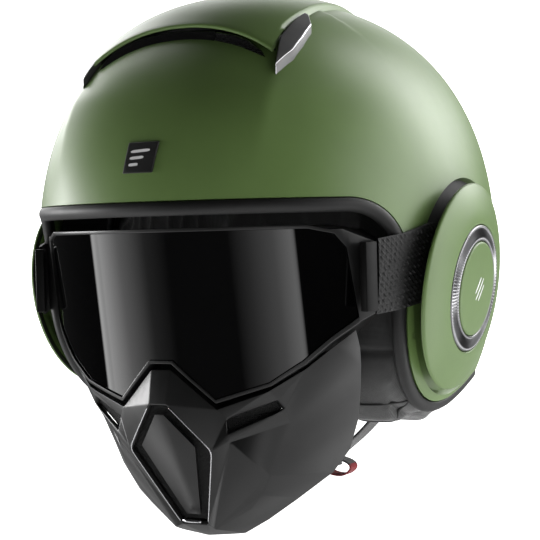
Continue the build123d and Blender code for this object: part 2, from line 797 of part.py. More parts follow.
PARTS["outer_shell"] = outer_shell()
PARTS["aperture_beading"], PARTS["base_beading"] = beading()
PARTS["front_badge"] = badge()
PARTS["crown_scoop"] = crown_scoop()
PARTS["vent_fascia"] = vent_fascia()
PARTS["vent_shutter"] = vent_shutter()
add_pair("vent_plate", vent_plate())
add_pair("side_cover", side_cover())
add_pair("knurled_ring", knurled_ring())
add_pair("centre_cap", centre_cap())
PARTS["eps_liner"] = eps_liner()
PARTS["comfort_liner"] = comfort_liner()
add_pair("cheek_pad", cheek_pad())
PARTS["neck_roll"] = neck_roll()
PARTS["goggle_frame"] = goggle_frame()
PARTS["goggle_lens"] = goggle_lens()
PARTS["goggle_foam"] = goggle_foam()
add_pair("goggle_outrigger", outrigger())
add_pair("goggle_strap", goggle_strap())
add_pair("strap_anchor", strap_anchor())
PARTS["mask_shell"] = mask_shell()
PARTS["mask_front_panel"] = mask_front_panel()
PARTS["mask_filter"] = mask_filter()
add_pair("mask_slot_mesh", mask_slot_mesh())
add_pair("mask_peg", (mask_peg() - PARTS["mask_shell"]).solids().sort_by(Axis.Y)[-1])
add_pair("chin_rivet", rivet())
PARTS["chin_strap_left"] = web(LEFT_WEB, WEB_THICKNESS, WEB_WIDTH - 1) - rivet()
right_strap = web(RIGHT_WEB, WEB_THICKNESS, WEB_WIDTH - 1) - rivet()
PARTS["chin_strap_right"] = mirror(right_strap, about=Plane.YZ)
PARTS["buckle_body"] = buckle_body()
PARTS["buckle_pin"] = pin_rod(PIN_RADIUS, WEB_WIDTH / 2 + BUCKLE_WALL)
PARTS["buckle_lever"] = buckle_lever()
PARTS["pull_tab"] = pull_tab()
PARTS["ratchet_tongue"] = ratchet_tongue()

# ---- Stand the helmet on its rest plane, with the origin under its middle --------------
os.makedirs("parts", exist_ok=True)
tipped = {name: Rot(-tip_angle(), 0, 0) * part for name, part in PARTS.items()}
box = Compound(children=[Compound(part.solids()) for part in tipped.values()]).bounding_box()
to_rest = Pos(0, -(box.min.Y + box.max.Y) / 2, -box.min.Z)
for name, part in tipped.items():
    export_step(to_rest * part, "parts/" + name + ".step")
    print(name, len(part.solids()), round(part.volume / 1000, 2), part.is_valid)
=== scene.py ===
import math
import json
import bpy
import bmesh
from mathutils import Matrix, Vector


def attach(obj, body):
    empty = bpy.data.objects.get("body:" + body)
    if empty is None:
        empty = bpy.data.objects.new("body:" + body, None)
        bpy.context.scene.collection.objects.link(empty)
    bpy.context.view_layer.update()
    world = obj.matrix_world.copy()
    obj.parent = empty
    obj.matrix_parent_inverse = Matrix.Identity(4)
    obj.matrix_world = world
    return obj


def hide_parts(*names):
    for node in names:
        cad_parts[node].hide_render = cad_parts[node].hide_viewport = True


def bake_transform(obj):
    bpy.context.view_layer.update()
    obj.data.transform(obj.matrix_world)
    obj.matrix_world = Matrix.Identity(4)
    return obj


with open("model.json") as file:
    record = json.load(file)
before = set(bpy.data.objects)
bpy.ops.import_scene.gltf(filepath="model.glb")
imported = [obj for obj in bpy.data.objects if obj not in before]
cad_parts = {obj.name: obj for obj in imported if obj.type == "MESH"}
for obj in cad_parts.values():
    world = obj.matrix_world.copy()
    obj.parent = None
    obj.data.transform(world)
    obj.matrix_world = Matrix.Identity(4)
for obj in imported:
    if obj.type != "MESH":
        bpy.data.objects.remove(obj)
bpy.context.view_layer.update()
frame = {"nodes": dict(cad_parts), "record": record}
RECORD = frame["record"]
NODE_BODY = {n: b for b, nodes in RECORD["behaviour"]["bodies"].items() for n in nodes}
JOINTS = {j["name"]: j for j in RECORD["behaviour"]["joints"]}

# ---- The design frame: mm, +X the wearer's left, -Y the front, +Z up, brow edge level -------
HALF_WIDTH, HALF_LENGTH = 125.0, 157.5
HEIGHT_ABOVE, DEPTH_BELOW, WAIST_Z = 150.2, 142.0, 9.0
PLAN, UPPER, LOWER = 2.12, 2.31, 2.2
BROW_Z, CHEEK_Y, BASE_REAR_Z, BASE_REAR_Y = 41.5, -69.0, -79.0, 145.0
BROW_RADIUS, CHEEK_RADIUS, BEADING = 35.0, 60.0, 7.7
DISC = Vector((131.0, -16.1, -9.65))
LEAN = math.radians(8)

forward = Vector(JOINTS["face_unit_pull"]["axis"])
TIP = math.atan2(forward.z, -forward.y)
TURN = Matrix.Rotation(-TIP, 4, "X")
SHIFT = Vector(JOINTS["dial_left_turn"]["pos_m"]) - TURN @ (DISC / 1000)
TO_ROW = Matrix.Translation(SHIFT) @ TURN @ Matrix.Scale(0.001, 4)
FROM_ROW = TO_ROW.inverted()


def row(p):
    return TO_ROW @ Vector(p)


def power(v, e):
    return math.copysign(abs(v) ** e, v)


def smooth(a, b, v):
    t = min(1.0, max(0.0, (v - a) / (b - a)))
    return t * t * (3 - 2 * t)


def along(points, x):
    """Height at x on a polyline of (x, height) points, level beyond its ends."""
    for (x0, z0), (x1, z1) in zip(points, points[1:]):
        if x <= x1:
            return z0 + (z1 - z0) * max(0.0, x - x0) / (x1 - x0)
    return points[-1][1]


def mirrored(p, side):
    """The point itself for side 1, its mirror image for side -1."""
    return Vector((p[0] * side, p[1], p[2]))


def form_rho(z, off=0.0):
    """Share of the plan outline's size at a height."""
    if z >= WAIST_Z:
        t, e = (z - WAIST_Z) / (HEIGHT_ABOVE + off), UPPER
    else:
        t, e = (WAIST_Z - z) / (DEPTH_BELOW + off), LOWER
    return max(0.0, 1 - t ** e) ** (1 / e)


def form_at(angle, z, off=0.0):
    rho = form_rho(z, off)
    return Vector((rho * (HALF_WIDTH + off) * power(math.cos(angle), 2 / PLAN),
                   rho * (HALF_LENGTH + off) * power(math.sin(angle), 2 / PLAN), z))


def form_x(y, z, off=0.0):
    """Half width of the form at a side view point."""
    s = form_rho(z, off) ** PLAN - (abs(y) / (HALF_LENGTH + off)) ** PLAN
    return (HALF_WIDTH + off) * max(0.0, s) ** (1 / PLAN)


def form_z(x, y, off=0.0):
    """Height of the form's top at a plan point."""
    q = (abs(x) / (HALF_WIDTH + off)) ** PLAN + (abs(y) / (HALF_LENGTH + off)) ** PLAN
    rho = min(1.0, q ** (1 / PLAN))
    return WAIST_Z + (HEIGHT_ABOVE + off) * (1 - rho ** UPPER) ** (1 / UPPER)


def outside(p):
    """Over zero outside the form, roughly in mm."""
    rho = form_rho(p.z)
    q = (abs(p.x) / HALF_WIDTH) ** PLAN + (abs(p.y) / HALF_LENGTH) ** PLAN
    return (q ** (1 / PLAN) - rho) * 130


def form_normal(p):
    e = 0.5
    g = [outside(p + Vector(d)) - outside(p - Vector(d)) for d in ((e, 0, 0), (0, e, 0), (0, 0, e))]
    return Vector(g).normalized()


BASE_LINE = ((-69.0, -73.0), (3.0, -73.0), (42.0, -61.0), (72.0, -61.0), (112.0, -79.0), (200.0, -79.0))
BASE_ROUND = 8.0


def base_z(y):
    """Height of the shell's lower edge: a polyline with rounded corners."""
    n = 8
    return sum(along(BASE_LINE, y + BASE_ROUND * (k / n - 0.5) * 2) for k in range(n + 1)) / (n + 1)


def edge_field(y, z):
    """Side view distance inside the shell's edge."""
    a = z - BROW_Z
    b1, b2 = y - CHEEK_Y, z - base_z(y)
    r = CHEEK_RADIUS
    b = r - math.hypot(r - b1, r - b2) if b1 < r and b2 < r else min(b1, b2)
    r = BROW_RADIUS
    return math.hypot(r + a, r + b) - r if a > -r and b > -r else max(a, b)


def edge_path(grow, off=0.0, step=2.0):
    """The edge curve grown outwards, on the form at an offset: a closed loop, front centre first."""
    half = []
    z = BROW_Z - grow
    start_y = CHEEK_Y - BROW_RADIUS
    for i in range(400):
        p = form_at(-math.pi / 2 + i * 0.004, z, off)
        if p.y >= start_y:
            break
        half.append(p)
    r = BROW_RADIUS - grow
    cy, cz = CHEEK_Y - BROW_RADIUS, BROW_Z - BROW_RADIUS
    side = [(cy + r * math.sin(t), cz + r * math.cos(t)) for t in [i * math.pi / 60 for i in range(31)]]
    r = CHEEK_RADIUS + grow
    cy, cz = CHEEK_Y + CHEEK_RADIUS, base_z(CHEEK_Y + CHEEK_RADIUS) + CHEEK_RADIUS
    side += [(cy - r * math.cos(t), cz - r * math.sin(t)) for t in [i * math.pi / 60 for i in range(31)]]
    y = cy + 3
    while y < 110:
        side.append((y, base_z(y) - grow))
        y += 3
    half += [Vector((form_x(y, z, off), y, z)) for y, z in side]
    for i in range(800):
        angle = 0.6 + i * 0.004
        if angle > math.pi / 2:
            break
        z = base_z(form_at(angle, BASE_REAR_Z, off).y) - grow
        p = form_at(angle, z, off)
        if p.y > half[-1].y + 1:
            half.append(p)
    z = base_z(BASE_REAR_Y) - grow
    half.append(form_at(math.pi / 2, z, off))
    loop = half + [Vector((-p.x, p.y, p.z)) for p in reversed(half[1:-1])]
    return resample(loop, step, True)


def resample(points, step, closed=False):
    pts = points + [points[0]] if closed else points
    length = [0.0]
    for a, b in zip(pts, pts[1:]):
        length.append(length[-1] + (b - a).length)
    n = max(2, round(length[-1] / step))
    out, j = [], 0
    for i in range(n if closed else n + 1):
        s = length[-1] * i / n
        while j < len(length) - 2 and length[j + 1] < s:
            j += 1
        t = (s - length[j]) / max(1e-9, length[j + 1] - length[j])
        out.append(pts[j].lerp(pts[j + 1], t))
    return out


# ---- Mesh helpers ---------------------------------------------------------------------------

def from_bm(name, bm, materials, smooth_angle=None):
    bmesh.ops.recalc_face_normals(bm, faces=bm.faces)
    mesh = bpy.data.meshes.new(name)
    bm.to_mesh(mesh)
    bm.free()
    for m in materials:
        mesh.materials.append(m)
    o = bpy.data.objects.new(name, mesh)
    bpy.context.collection.objects.link(o)
    shade(o, smooth_angle)
    return o


def grid(name, rows, materials, closed_rows=False, closed_cols=False, smooth_angle=None, cap=False):
    """A mesh from rows of design-frame points."""
    bm = bmesh.new()
    vs = [[bm.verts.new(row(p)) for p in r] for r in rows]
    nr, nc = len(rows), len(rows[0])
    for i in range(nr if closed_rows else nr - 1):
        for j in range(nc if closed_cols else nc - 1):
            a, b = vs[i], vs[(i + 1) % nr]
            bm.faces.new((a[j], a[(j + 1) % nc], b[(j + 1) % nc], b[j]))
    if cap:
        bm.faces.new(vs[0])
        bm.faces.new(list(reversed(vs[-1])))
    bmesh.ops.remove_doubles(bm, verts=bm.verts, dist=1e-6)
    return from_bm(name, bm, materials, smooth_angle)


def sweep(name, path, profile, materials, closed=True, normal=form_normal, smooth_angle=40):
    """Sweeps a closed (u, v) section along a path: v along the form's normal, u beside it."""
    rows, n = [], len(path)
    for i, p in enumerate(path):
        a, b = path[(i - 1) % n], path[(i + 1) % n]
        if not closed:
            a, b = path[max(0, i - 1)], path[min(n - 1, i + 1)]
        t = (b - a).normalized()
        w = normal(p)
        side = t.cross(w).normalized()
        up = side.cross(t).normalized()
        rows.append([p + side * u + up * v for u, v in profile])
    return grid(name, rows, materials, closed_rows=closed, closed_cols=True, smooth_angle=smooth_angle,
                cap=not closed)


def cut(bm, field):
    """Adds edges where the field crosses zero."""
    value = {v: field(FROM_ROW @ v.co) for v in bm.verts}
    value = {v: (0.0 if abs(f) < 1e-4 else f) for v, f in value.items()}
    for e in list(bm.edges):
        a, b = e.verts
        fa, fb = value[a], value[b]
        if fa * fb < 0:
            _, v = bmesh.utils.edge_split(e, a, fa / (fa - fb))
            value[v] = 0.0
    for f in list(bm.faces):
        on = [v for v in f.verts if value[v] == 0.0]
        if len(on) == 2 and not any(e for e in on[0].link_edges if e.other_vert(on[0]) is on[1]):
            bmesh.utils.face_split(f, on[0], on[1])
    return value


def drop_where(bm, value, sign):
    gone = [f for f in bm.faces if any(value[v] * sign > 0 for v in f.verts)]
    bmesh.ops.delete(bm, geom=gone, context="FACES")


def modifier(o, kind, **settings):
    m = o.modifiers.new(kind, kind)
    for k, v in settings.items():
        setattr(m, k, v)
    apply(o)


def apply(o):
    """Bakes every modifier of a piece into its mesh."""
    graph = bpy.context.evaluated_depsgraph_get()
    mesh = bpy.data.meshes.new_from_object(o.evaluated_get(graph), depsgraph=graph)
    o.modifiers.clear()
    o.data = mesh


def shade(o, angle=None):
    for p in o.data.polygons:
        p.use_smooth = True
    if angle is not None:
        o.data.set_sharp_from_angle(angle=math.radians(angle))


def join(node, o):
    """The piece stands for a CAD node, on its body."""
    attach(o, NODE_BODY[node])
    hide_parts(node)
    return o


def trim(node_like, o):
    """A small extra piece beside a CAD node."""
    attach(o, NODE_BODY[node_like])
    return o


def copy_cad(node, name, materials, flat_deg=0.6):
    """The CAD node's own mesh as clean faces, in a new object."""
    bm = bmesh.new()
    bm.from_mesh(frame["nodes"][node].data)
    bmesh.ops.remove_doubles(bm, verts=bm.verts, dist=2e-6)
    bmesh.ops.dissolve_limit(bm, angle_limit=math.radians(flat_deg), verts=bm.verts, edges=bm.edges)
    return from_bm(name, bm, materials)


def bevelled(node, materials, width=0.5, segments=2, angle=25, flat_deg=0.6):
    """The CAD node with softened edges."""
    o = copy_cad(node, node + "_body", materials, flat_deg)
    modifier(o, "BEVEL", width=width / 1000, segments=segments, limit_method="ANGLE",
             angle_limit=math.radians(angle), harden_normals=False, miter_outer="MITER_ARC")
    shade(o, 35)
    return join(node, o)


# ---- Materials ------------------------------------------------------------------------------

class Nodes:
    """Builds a node material a line at a time."""

    def __init__(self, name, color, rough, metallic=0.0, **sockets):
        self.mat = bpy.data.materials.new(name)
        self.mat.use_nodes = True
        self.tree = self.mat.node_tree
        self.shader = self.tree.nodes["Principled BSDF"]
        self.shader.inputs["Base Color"].default_value = (*color, 1)
        self.shader.inputs["Roughness"].default_value = rough
        self.shader.inputs["Metallic"].default_value = metallic
        for k, v in sockets.items():
            self.shader.inputs[k.replace("_", " ")].default_value = v
        self.color, self.rough = color, rough
        self.place = self.node("ShaderNodeTexCoord").outputs["Object"]
        self.bumps = None

    def node(self, kind, **settings):
        n = self.tree.nodes.new(kind)
        for k, v in settings.items():
            if k in n.inputs:
                n.inputs[k].default_value = v
            else:
                setattr(n, k, v)
        return n

    def link(self, a, b):
        self.tree.links.new(a, b)

    def noise(self, scale, detail=3.0, stretch=None):
        n = self.node("ShaderNodeTexNoise", Scale=scale, Detail=detail)
        if stretch:
            m = self.node("ShaderNodeMapping")
            m.inputs["Scale"].default_value = stretch
            self.link(self.place, m.inputs["Vector"])
            self.link(m.outputs["Vector"], n.inputs["Vector"])
        else:
            self.link(self.place, n.inputs["Vector"])
        return n.outputs["Fac"]

    def wave(self, scale, direction="X", distortion=0.0):
        w = self.node("ShaderNodeTexWave", Scale=scale, Distortion=distortion, bands_direction=direction)
        self.link(self.place, w.inputs["Vector"])
        return w.outputs["Fac"]

    def cells(self, scale, feature="F1"):
        v = self.node("ShaderNodeTexVoronoi", Scale=scale, feature=feature)
        self.link(self.place, v.inputs["Vector"])
        return v.outputs["Distance"]

    def math(self, operation, a, b):
        m = self.node("ShaderNodeMath", operation=operation)
        for i, v in enumerate((a, b)):
            if isinstance(v, (int, float)):
                m.inputs[i].default_value = v
            else:
                self.link(v, m.inputs[i])
        return m.outputs[0]

    def spread(self, fac, low, high):
        """Maps a 0..1 pattern on to a range."""
        m = self.node("ShaderNodeMapRange")
        m.inputs["To Min"].default_value = low
        m.inputs["To Max"].default_value = high
        self.link(fac, m.inputs["Value"])
        return m.outputs["Result"]

    def tint(self, fac, dark, light):
        """Colour varies between two colours by a pattern."""
        r = self.node("ShaderNodeValToRGB")
        r.color_ramp.elements[0].color = (*dark, 1)
        r.color_ramp.elements[1].color = (*light, 1)
        r.color_ramp.elements[0].position = 0.3
        r.color_ramp.elements[1].position = 0.7
        self.link(fac, r.inputs["Fac"])
        self.link(r.outputs["Color"], self.shader.inputs["Base Color"])
        return self

    def vary_rough(self, fac, low, high):
        self.link(self.spread(fac, low, high), self.shader.inputs["Roughness"])
        return self

    def bump(self, fac, height_mm, strength=1.0):
        b = self.node("ShaderNodeBump", Strength=strength, Distance=height_mm / 1000)
        self.link(fac, b.inputs["Height"])
        if self.bumps:
            self.link(self.bumps, b.inputs["Normal"])
        self.bumps = b.outputs["Normal"]
        self.link(self.bumps, self.shader.inputs["Normal"])
        return self


def scaled(color, k):
    return tuple(c * k for c in color)


def paint():
    c = (0.108, 0.176, 0.052)
    m = Nodes("shell_paint", c, 0.40, Coat_Weight=0.2, Coat_Roughness=0.36)
    m.tint(m.noise(35, 4), scaled(c, 0.95), scaled(c, 1.05))
    m.vary_rough(m.noise(160, 2), 0.38, 0.43)
    m.bump(m.noise(1100, 1), 0.01, 0.3)
    return m.mat


def moulded(name, value, rough, grain=0.03, grain_scale=1500, tone=(1, 1, 1)):
    c = scaled(tone, value)
    m = Nodes(name, c, rough)
    m.tint(m.noise(60, 4), scaled(c, 0.85), scaled(c, 1.2))
    m.vary_rough(m.noise(220, 3), rough - 0.05, rough + 0.06)
    m.bump(m.noise(grain_scale, 2), grain, 0.5)
    return m.mat


def metal(name, value, rough, stretch=(1, 12, 1)):
    c = (value, value, value * 1.03)
    m = Nodes(name, c, rough, metallic=1.0)
    streak = m.noise(420, 3, stretch)
    m.tint(streak, scaled(c, 0.92), scaled(c, 1.06))
    m.vary_rough(streak, rough - 0.03, rough + 0.05)
    m.bump(streak, 0.004, 0.15)
    return m.mat


def cloth(name, value, weave=900, height=0.12, tone=(1, 1, 1), sheen=0.35):
    c = scaled(tone, value)
    m = Nodes(name, c, 0.9, Sheen_Weight=sheen, Sheen_Roughness=0.5)
    m.tint(m.noise(90, 5), scaled(c, 0.75), scaled(c, 1.3))
    knit = m.math("MULTIPLY", m.wave(weave / 3, "X", 1.5), m.wave(weave / 3, "Z", 1.5))
    m.bump(knit, height, 0.8)
    m.bump(m.noise(1400, 3), height * 0.5, 0.6)
    return m.mat


def foam():
    m = Nodes("open_foam", (0.012, 0.012, 0.013), 0.95, Sheen_Weight=0.2)
    m.tint(m.noise(180, 4), (0.008, 0.008, 0.008), (0.02, 0.02, 0.021))
    m.bump(m.cells(900), 0.4, 0.9)
    return m.mat


def bead_foam():
    m = Nodes("bead_foam", (0.018, 0.018, 0.019), 0.8)
    m.tint(m.noise(120, 3), (0.013, 0.013, 0.013), (0.026, 0.026, 0.027))
    m.bump(m.cells(260, "DISTANCE_TO_EDGE"), 0.3, 0.7)
    return m.mat


def smoke():
    m = Nodes("smoke_lens", (0.0012, 0.0012, 0.0014), 0.02, Transmission_Weight=0.5, IOR=1.5,
              Coat_Weight=0.6, Coat_Roughness=0.02)
    m.tint(m.noise(14, 2), (0.0010, 0.0010, 0.0012), (0.0016, 0.0016, 0.0018))
    m.vary_rough(m.noise(90, 3), 0.015, 0.035)
    return m.mat


PAINT = paint()
RUBBER = moulded("charcoal_rubber", 0.009, 0.52, 0.04, 900)
FRAME = moulded("frame_satin", 0.010, 0.34, 0.02)
ARM = moulded("outrigger_satin", 0.005, 0.42, 0.02)
ARM.node_tree.nodes["Principled BSDF"].inputs["Specular IOR Level"].default_value = 0.2
MASK = moulded("mask_matte", 0.0105, 0.36, 0.02, 1700)
# Black for the vent throat and the covers' undersides and floors; on the shell's pocket floor it is painted
# shade
BLACK_AND_SHADE = moulded("black_and_painted_shade", 0.003, 0.6)
GUNMETAL = metal("gunmetal", 0.22, 0.26)
SILVER = moulded("satin_silver", 0.12, 0.38, 0.004)
SILVER.node_tree.nodes["Principled BSDF"].inputs["Metallic"].default_value = 0.2
# Bright metal: painted highlight along the vent plates' rims and the mask's window edges; also the panel clip
BRIGHT_AND_HIGHLIGHT = metal("bright_metal_and_painted_highlight", 0.62, 0.22)
KNURL = metal("knurl_metal", 0.26, 0.3, (1, 1, 1))
STEEL = metal("plain_steel", 0.45, 0.3)
BUCKLE = metal("black_steel", 0.12, 0.35)
GLOSS = moulded("gloss_black", 0.006, 0.12, 0.004)
BADGE = moulded("badge_grey", 0.018, 0.3, 0.01)
MARK = moulded("pale_print", 0.6, 0.5, 0.01)
KNIT = cloth("elastic_knit", 0.006, 1300, 0.1, sheen=0.03)
KNIT.node_tree.nodes["Principled BSDF"].inputs["Roughness"].default_value = 0.55
FLECK = cloth("pale_yarn", 0.035, 1300, 0.1, sheen=0.1)
LINING = cloth("lining_knit", 0.014, 1100, 0.15)
CHEEK = cloth("cheek_cloth", 0.026, 1500, 0.2)
LEATHER = moulded("leatherette", 0.018, 0.5, 0.15, 700)
WEBBING = cloth("webbing", 0.012, 700, 0.25)
RED = cloth("red_ribbon", 0.16, 900, 0.1, (1.0, 0.03, 0.05), 0.1)
TONGUE = moulded("toothed_plastic", 0.015, 0.4)
FOAM = foam()
BEADS = bead_foam()
SMOKE = smoke()
FILTER = cloth("filter_mesh", 0.004, 1200, 0.4, sheen=0.05)

# ---- Camera, floor and lights -----------------------------------------------------------------
AZ, EL, ROLL = math.radians(27.0), math.radians(1.35), math.radians(-1.49)
EYE = Vector((math.sin(AZ) * math.cos(EL), -math.cos(AZ) * math.cos(EL), math.sin(EL)))
RIGHT = Vector((math.cos(AZ), math.sin(AZ), 0))
UP = EYE.cross(RIGHT)
RIGHT_ROLLED = RIGHT * math.cos(ROLL) + UP * math.sin(ROLL)
UP_ROLLED = UP * math.cos(ROLL) - RIGHT * math.sin(ROLL)
DISTANCE_MM, FOCAL_PX, IMAGE_PX = 945.0, 1580.0, 540.0


def turned(v):
    return (TURN.to_3x3() @ v).normalized()


def add_camera():
    cam = bpy.data.cameras.new("photo_view")
    cam.sensor_width = 36
    cam.lens = FOCAL_PX / IMAGE_PX * 36
    cam.shift_x, cam.shift_y = -5.8 / IMAGE_PX, 2.9 / IMAGE_PX
    cam.clip_start, cam.clip_end = 0.05, 50
    o = bpy.data.objects.new("photo_view", cam)
    bpy.context.collection.objects.link(o)
    x, y, z = turned(RIGHT_ROLLED), turned(UP_ROLLED), turned(EYE)
    p = row(EYE * DISTANCE_MM)
    o.matrix_world = Matrix(((x.x, y.x, z.x, p.x), (x.y, y.y, z.y, p.y), (x.z, y.z, z.z, p.z), (0, 0, 0, 1)))
    bpy.context.scene.camera = o
    return o


def area_light(name, azimuth, elevation, distance, width, height, power_w, tint=(1, 1, 1)):
    """A softbox by its direction from the helmet's middle; azimuth 0 is in front, + to the wearer's left."""
    data = bpy.data.lights.new(name, "AREA")
    data.shape, data.size, data.size_y = "RECTANGLE", width, height
    data.energy, data.color = power_w, tint
    o = bpy.data.objects.new(name, data)
    bpy.context.collection.objects.link(o)
    a, e = math.radians(azimuth), math.radians(elevation)
    d = Vector((math.sin(a) * math.cos(e), -math.cos(a) * math.cos(e), math.sin(e)))
    o.location = Vector((0, 0, 0.15)) + d * distance
    o.rotation_euler = d.to_track_quat("Z", "Y").to_euler()
    o.visible_camera = False
    return o


def add_stage():
    bm = bmesh.new()
    side, back, rise, bend = 4.0, 3.0, 3.0, 1.0
    section = [(-6.0, 0.0), (back - bend, 0.0)]
    section += [(back - bend + bend * math.sin(t), bend - bend * math.cos(t))
                for t in [i * math.pi / 24 for i in range(1, 13)]]
    section.append((back, rise))
    left = [bm.verts.new((-side, y, z)) for y, z in section]
    right = [bm.verts.new((side, y, z)) for y, z in section]
    for i in range(len(section) - 1):
        bm.faces.new((left[i], left[i + 1], right[i + 1], right[i]))
    c = (0.9, 0.9, 0.9)
    m = Nodes("pale_floor", c, 0.7)
    m.tint(m.noise(3, 2), scaled(c, 0.99), scaled(c, 1.01))
    m.shader.inputs["Emission Color"].default_value = (1, 1, 1, 1)
    m.shader.inputs["Emission Strength"].default_value = 1.5
    o = from_bm("floor", bm, [m.mat])
    o.visible_glossy = False


def ramp(tree, fac, stops):
    """A piecewise linear curve of up to 32 (input, value) stops; the input runs from 0 to 1."""
    r = tree.nodes.new("ShaderNodeValToRGB")
    elements = r.color_ramp.elements
    while len(elements) < len(stops):
        elements.new(0.5)
    top = max(v for _, v in stops)
    for e, (p, v) in zip(elements, stops):
        e.position = p
        e.color = (v / top, v / top, v / top, 1)
    tree.links.new(fac, r.inputs["Fac"])
    return world_math(tree, "MULTIPLY", r.outputs["Color"], top)


def world_math(tree, operation, a, b):
    m = tree.nodes.new("ShaderNodeMath")
    m.operation = operation
    for i, v in enumerate((a, b)):
        if isinstance(v, (int, float)):
            m.inputs[i].default_value = v
        else:
            tree.links.new(v, m.inputs[i])
    return m.outputs[0]


AMBIENT, TABLE = 0.012, 0.5
# Studio light by direction: azimuth in degrees, 0 in front and + to the wearer's left; strength
FRONT_BOXES = [(-180, 0), (-73, 0), (-71.5, 3.4), (-68, 2.2), (-66, 2.7), (-52, 1.15), (-34, 0.2),
               (-20, 0.02), (14, 0.02), (24, 0.28), (38, 0.8), (47, 1.6), (49, 1.8), (50, 0), (94, 0),
               (104, 3.2), (120, 3.2), (132, 0.5), (170, 0)]
BACK_BOXES = [(-180, 0.6), (-160, 2.4), (-94, 2.9), (-86, 0.0), (84, 0.0), (96, 2.6), (165, 3.0), (180, 0.6)]


def add_world():
    w = bpy.data.worlds.new("studio")
    bpy.context.scene.world = w
    w.use_nodes = True
    t = w.node_tree
    split = t.nodes.new("ShaderNodeSeparateXYZ")
    t.links.new(t.nodes.new("ShaderNodeTexCoord").outputs["Generated"], split.inputs[0])
    forward_y = world_math(t, "MULTIPLY", split.outputs["Y"], -1.0)
    azimuth = world_math(t, "ARCTAN2", split.outputs["X"], forward_y)
    turn = world_math(t, "ADD", world_math(t, "DIVIDE", azimuth, 2 * math.pi), 0.5)
    height = world_math(t, "ADD", world_math(t, "MULTIPLY", split.outputs["Z"], 0.5), 0.5)
    front = ramp(t, turn, [((a + 180) / 360, v) for a, v in FRONT_BOXES])
    back = ramp(t, turn, [((a + 180) / 360, v) for a, v in BACK_BOXES])
    low = ramp(t, height, [(0.0, 0.4), (0.30, 1.0), (0.50, 1.0), (0.57, 0.0), (1.0, 0.0)])
    high = ramp(t, height, [(0.0, 0.0), (0.47, 0.0), (0.52, 1.0), (0.64, 1.0), (0.76, 0.0), (1.0, 0.0)])
    table = ramp(t, height, [(0.0, TABLE), (0.30, TABLE), (0.37, 0.0), (1.0, 0.0)])
    both = world_math(t, "ADD", world_math(t, "MULTIPLY", front, low), world_math(t, "MULTIPLY", back, high))
    strength = world_math(t, "ADD", world_math(t, "ADD", both, table), AMBIENT)
    bg = t.nodes["Background"]
    bg.inputs["Color"].default_value = (1.0, 1.0, 1.0, 1)
    t.links.new(strength, bg.inputs["Strength"])
    white = t.nodes.new("ShaderNodeBackground")
    white.inputs["Color"].default_value = (1, 1, 1, 1)
    white.inputs["Strength"].default_value = 1.0
    mix = t.nodes.new("ShaderNodeMixShader")
    path = t.nodes.new("ShaderNodeLightPath")
    out = t.nodes["World Output"]
    t.links.new(path.outputs["Is Camera Ray"], mix.inputs["Fac"])
    t.links.new(bg.outputs["Background"], mix.inputs[1])
    t.links.new(white.outputs["Background"], mix.inputs[2])
    t.links.new(mix.outputs["Shader"], out.inputs["Surface"])


bpy.context.scene.view_settings.view_transform = "Standard"
add_camera()
add_stage()
add_world()
area_light("right_rim", 150, 20, 1.5, 0.5, 1.4, 9)
area_light("left_rim", -128, 25, 1.5, 0.5, 1.4, 5)
area_light("left_key", -76, 4, 1.4, 0.8, 0.3, 13)
area_light("right_key", 132, 4, 1.5, 0.6, 0.4, 7).visible_glossy = False

# ---- Shell ------------------------------------------------------------------------------------
POCKET_Y, POCKET_Z, POCKET_R, POCKET_DEPTH = -4.0, -9.0, 61.0, 3.5
AROUND = 264


def crease(p):
    """Height added to the shell's face: a flatter front between two creases below the vent."""
    if p.y > -40:
        return 0.0
    fade = smooth(40, 88, p.z) * (2.6 - 1.4 * smooth(95, 108, p.z))
    x = abs(p.x)
    inner = (x / 59) ** 2 if x < 59 else math.exp(-(x - 59) / 11)
    return fade * inner


def make_shell():
    rows = []
    for i in range(76):
        t = i / 75 * math.pi / 2
        z = WAIST_Z + HEIGHT_ABOVE * power(math.cos(t), 2 / UPPER)
        rows.append(z)
    rows[0] = WAIST_Z + HEIGHT_ABOVE - 1e-3
    z = WAIST_Z - 2.2
    while z > -84:
        rows.append(z)
        z -= 2.2
    bm = bmesh.new()
    ring = []
    for z in rows:
        line = []
        for j in range(AROUND):
            p = form_at(2 * math.pi * j / AROUND, z)
            p += form_normal(p) * crease(p)
            line.append(bm.verts.new(row(p)))
        ring.append(line)
    top = bm.verts.new(row((0, 0, WAIST_Z + HEIGHT_ABOVE)))
    for j in range(AROUND):
        k = (j + 1) % AROUND
        bm.faces.new((top, ring[0][j], ring[0][k]))
        for a, b in zip(ring, ring[1:]):
            bm.faces.new((a[j], b[j], b[k], a[k]))
    value = cut(bm, lambda p: edge_field(p.y, p.z))
    drop_where(bm, value, -1)

    def pocket_radius(p):
        return math.hypot(p.y - POCKET_Y, p.z - POCKET_Z) if abs(p.x) > 60 else 200.0

    for r in (POCKET_R, POCKET_R - 0.35, POCKET_R - 0.9):
        cut(bm, lambda p: pocket_radius(p) - r)
    o = from_bm("shell_skin", bm, [PAINT, BLACK_AND_SHADE])
    modifier(o, "SOLIDIFY", thickness=0.004, offset=-1)
    # Painted shade: pocket floor faces in the gap above each side cover get the black slot instead of green
    # paint, standing for the shadow there
    for f in o.data.polygons:
        p = FROM_ROW @ f.center
        if outside(p) > -2 and pocket_radius(p) < POCKET_R - 1.0 and p.z > -8 and p.y < 30:
            f.material_index = 1
    for v in o.data.vertices:
        p = FROM_ROW @ v.co
        if outside(p) > -2:
            depth = smooth(POCKET_R - 0.1, POCKET_R - 0.8, pocket_radius(p)) * POCKET_DEPTH
            depth *= smooth(38, 22, p.y)
            v.co = row(p - form_normal(p) * depth)
    shade(o, 38)
    return join("outer_shell", o)


